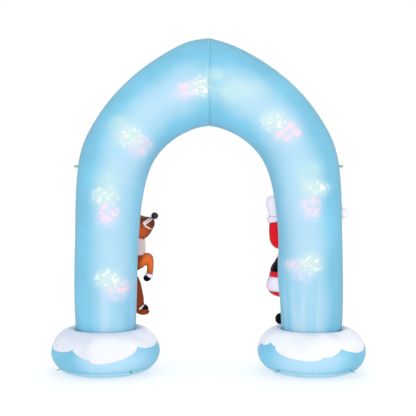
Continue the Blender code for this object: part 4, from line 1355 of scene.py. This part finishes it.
def makeSnowman():
    for name, rows in snowman["panels"]:
        carve(name, panelForm(rows), cuts=("arch_right",))
    carve("snowman_pompom", ballForm(*snowman["pompom"]))
    limbs = {}
    for rows in snowman["limbs"]:
        limbs.update(limbForms(rows))
    seats = {
        "snowman_head": ("arch_right", "snowman_coat"),
        "snowman_band": ("arch_right",),
        "snowman_cap": ("arch_right", "snowman_pompom"),
        "snowman_nose": ("snowman_head",),
    }
    for word in ("left", "right"):
        seats[f"snowman_sleeve_{word}"] = ("arch_right", "snowman_coat")
        seats[f"snowman_leg_{word}"] = ("arch_right", "snowman_trousers")
        seats[f"snowman_boot_{word}"] = ("arch_right", "base_right")
    for name, form in limbs.items():
        carve(name, form, cuts=seats.get(name, ()))


def snowmanCoatPaint(start, place, finish):  # the belt's black runs on above its seam
    return (1 - place.part(2).rise(0.896, 0.900)).blend(finish, tone(8, 8, 10))


def snowmanFacePaint(start, place, finish):
    coal = tone(24, 22, 25)
    front = place.part(1).rise(midY + 0.04, midY + 0.05)
    marks = [((0.783, 1.312), 0.0135), ((0.868, 1.312), 0.0135)]
    for step in range(6):  # the smile
        angle = math.radians(205 + 26 * step)
        marks.append(((0.826 + 0.066 * math.cos(angle), 1.262 + 0.045 * math.sin(angle)), 0.0065))
    for centre, radius in marks:
        finish = (spot(place, centre, (radius, radius)) * front).blend(finish, coal)
    return finish


# camera, floor and light

studio = dict(
    cameraPlace=(-0.005, planeY - 7.0, 1.48),
    lens=847 / 416 * 36,  # for a picture 416 steps wide
    shiftY=(191 - 208) / 416,
    floorSize=60.0,
    floorGlow=0.5,  # a floor lit from below keeps the shadows faint
    worldStrength=1.0,
    lamps=(  # name, place, aim, size, power
        ("keyLamp", (-0.4, -8.0, 3.6), (0, 0, 1.2), 3.0, 62),
        ("fillLamp", (0.5, -7.8, 2.2), (0, 0, 1.2), 3.0, 46),
        ("farLamp", (1.5, 5.5, 3.6), (0, 0, 1.2), 3.2, 60),
    ),
)


def aimed(item, place, aim):
    item.location = place
    item.rotation_euler = (Vector(aim) - Vector(place)).to_track_quat("-Z", "Y").to_euler()


def makeStudio():
    s = studio
    scene = bpy.context.scene
    scene.view_settings.view_transform = "Standard"
    camera = bpy.data.objects.new("camera", bpy.data.cameras.new("camera"))
    camera.data.sensor_width = 36
    camera.data.lens = s["lens"]
    camera.data.shift_y = s["shiftY"]
    camera.location = s["cameraPlace"]
    camera.rotation_euler = (math.radians(90), 0, 0)
    scene.collection.objects.link(camera)
    scene.camera = camera

    world = bpy.data.worlds.new("studio")
    world.use_nodes = True
    background = world.node_tree.nodes["Background"]
    background.inputs["Color"].default_value = (1, 1, 1, 1)
    background.inputs["Strength"].default_value = s["worldStrength"]
    scene.world = world

    bm = bmesh.new()
    bmesh.ops.create_grid(bm, x_segments=1, y_segments=1, size=s["floorSize"] / 2)
    material = bpy.data.materials.new("floorFinish")
    material.use_nodes = True
    shader = material.node_tree.nodes["Principled BSDF"]
    shader.inputs["Base Color"].default_value = (0.5, 0.5, 0.5, 1)
    shader.inputs["Roughness"].default_value = 0.9
    shader.inputs["Emission Color"].default_value = (1, 1, 1, 1)
    shader.inputs["Emission Strength"].default_value = s["floorGlow"]
    floor = newObject("floor", bm, material)
    floor.location.z = -0.0005

    for name, place, aim, size, power in s["lamps"]:
        lamp = bpy.data.lights.new(name, "AREA")
        lamp.size, lamp.energy = size, power
        item = bpy.data.objects.new(name, lamp)
        scene.collection.objects.link(item)
        aimed(item, place, aim)


# the whole scene

makeStudio()
print("studio is set")

blueCloth = tone(122, 196, 226)
archFinish = clothMaterial("archCloth", blueCloth, 0.5, archPaint, crinkle=0.5, glow=0.08, lit="glow")
cushionFinish = clothMaterial("cushionCloth", blueCloth, 0.5, cushionPaint, crinkle=0.8, glow=0.12, lit="glow")
snowFinish = clothMaterial("snowCloth", tone(240, 242, 248), 0.6, snowPaint, crinkle=0.9, glow=0.05)
makeArch(-1, "arch_left", archFinish)
makeArch(1, "arch_right", archFinish)
print("arch is sewn")
makeCushion(-1, "base_left", cushionFinish)
makeCushion(1, "base_right", cushionFinish)
makeSnow(-1, "snow_left", snowFinish)
makeSnow(1, "snow_right", snowFinish)
print("cushions and snow caps are sewn")

webbingFinish = clothMaterial("webbing", tone(112, 200, 176), 0.7, crinkle=0.1)
ringFinish = bpy.data.materials.new("ringPlastic")
ringFinish.use_nodes = True
ringShader = ringFinish.node_tree.nodes["Principled BSDF"]
ringShader.inputs["Base Color"].default_value = (0.75, 0.8, 0.8, 1)
ringShader.inputs["Roughness"].default_value = 0.25
makeTies(webbingFinish, ringFinish)
print("straps and rings are fitted")

# painted shade colours where the figures' cloth turns away: lilac on the white cloth, then brown and red
lilac, brownPaintedShade, redPaintedShade = tone(172, 158, 192), tone(70, 24, 8), tone(150, 8, 24)
brown, darkBrown = tone(250, 118, 52), tone(92, 30, 12)
red, black = tone(230, 8, 28), tone(8, 8, 10)
figureCloths = (  # slot, starts of the nodes' names, cloth; the longest start that fits a node counts
    (
        "brown_cloth",
        ("deer",),
        clothMaterial("brownCloth", brown, 0.42, deerCoatPaint, gloss=0.1, glow=0.22, edge=brownPaintedShade),
    ),
    (
        "brown_cloth",
        ("deer_head",),
        clothMaterial("deerFaceCloth", darkBrown, 0.42, deerFacePaint, gloss=0.1, glow=0.12, edge=brownPaintedShade),
    ),
    ("tan_cloth", ("deer_antler",), clothMaterial("tanCloth", tone(206, 160, 100), 0.5, glow=0.08)),
    (
        "cream_cloth",
        ("deer_chest",),
        clothMaterial("creamCloth", tone(214, 192, 188), 0.5, deerChestPaint, glow=0.14),
    ),
    (
        "white_cloth",
        (
            "deer_forecuff",
            "deer_hindcuff",
            "snowman_trim",
            "snowman_cuff",
            "snowman_mitten",
            "snowman_band",
            "snowman_pompom",
        ),
        clothMaterial("whiteCloth", tone(252, 244, 249), 0.5, glow=0.24, edge=lilac),
    ),
    (
        "white_cloth",
        ("snowman_head",),
        clothMaterial("snowmanFaceCloth", tone(240, 238, 245), 0.5, snowmanFacePaint, glow=0.12),
    ),
    ("red_cloth", ("snowman",), clothMaterial("redCloth", red, 0.42, gloss=0.15, glow=0.35, edge=redPaintedShade)),
    (
        "red_cloth",
        ("snowman_coat",),
        clothMaterial("coatCloth", red, 0.42, snowmanCoatPaint, gloss=0.15, glow=0.3),
    ),
    (
        "black_cloth",
        ("deer_forehoof", "deer_hindhoof", "snowman_belt", "snowman_boot"),
        clothMaterial("blackCloth", black, 0.4, gloss=0.05),
    ),
    ("black_cloth", ("deer_nose",), clothMaterial("noseCloth", tone(26, 16, 14), 0.25, gloss=0.5)),
    ("orange_cloth", ("snowman_nose",), clothMaterial("orangeCloth", tone(236, 120, 36), 0.45, glow=0.10)),
)
leanedOn = ("arch_left", "arch_right", "base_right", "snow_right")  # what the figures' cloth touches
figureSeams = (  # a point on the seam, the way across it, starts of the nodes' names
    (
        (0, midY, 0),
        (0, 1, 0),
        (
            "deer_head",
            "deer_foreleg_rear",
            "deer_hindleg_rear",
            "snowman_head",
            "snowman_cap",
            "snowman_sleeve_left",
            "snowman_mitten_left",
        ),
    ),
    ((0, 0.385 + planeY, 0), (0, 1, 0), ("deer_body",)),
    (
        (snowman["x"], 0, 0),
        (1, 0, 0),
        ("snowman_coat", "snowman_trousers", "snowman_trim", "snowman_skirt"),
    ),
)


def clothFor(node):
    fits = [(len(start), row) for row in figureCloths for start in row[1] if node.startswith(start)]
    slot, _, cloth = max(fits, key=lambda fit: fit[0])[1]
    return slot, cloth


def plainArch(side):  # the tube alone, for cutting the figures where they lean on it
    return closeEnds(wrapGrid(64, 160, lambda u, v: archPoint(side, archSection(side, v), u)))


def plainCushion(side):
    bm = closeEnds(wrapGrid(72, 48, lambda u, v: cushionPoint(side, u, v, figure["cushionSeat"][0])))
    bmesh.ops.translate(bm, vec=(0, -planeY, 0), verts=bm.verts)
    return bm


cutterFrom("arch_left", plainArch(-1), figure["archSeat"])
cutterFrom("arch_right", plainArch(1), figure["archSeat"])
cutterFrom("base_right", plainCushion(1), figure["cushionSeat"][1])
makeDeer()
print("deer is cut out")
makeSnowman()
print("snowman is cut out")
for item in [item for item in bpy.data.objects if item.name.startswith("cutter_")]:
    bpy.data.objects.remove(item)
pieces = {node: clothSkin(node) for node in forms}
blowUp(list(pieces.values()), [made[node] for node in leanedOn])
print("figures are blown up")
for node, piece in pieces.items():
    if len(piece.data.vertices) < figure["finerBelow"]:
        finer = piece.modifiers.new("finer", "SUBSURF")
        finer.levels = finer.render_levels = 1
        finished(piece)
    for point, normal, starts in figureSeams:
        if node.startswith(starts):
            sewSeam(piece, point, normal)
    shadeEdge(piece)
    piece.data.shade_smooth()
    slot, cloth = clothFor(node)
    piece.data.materials.clear()
    piece.data.materials.append(cloth)
    dress(piece, node, slot)
print("figures are sewn")
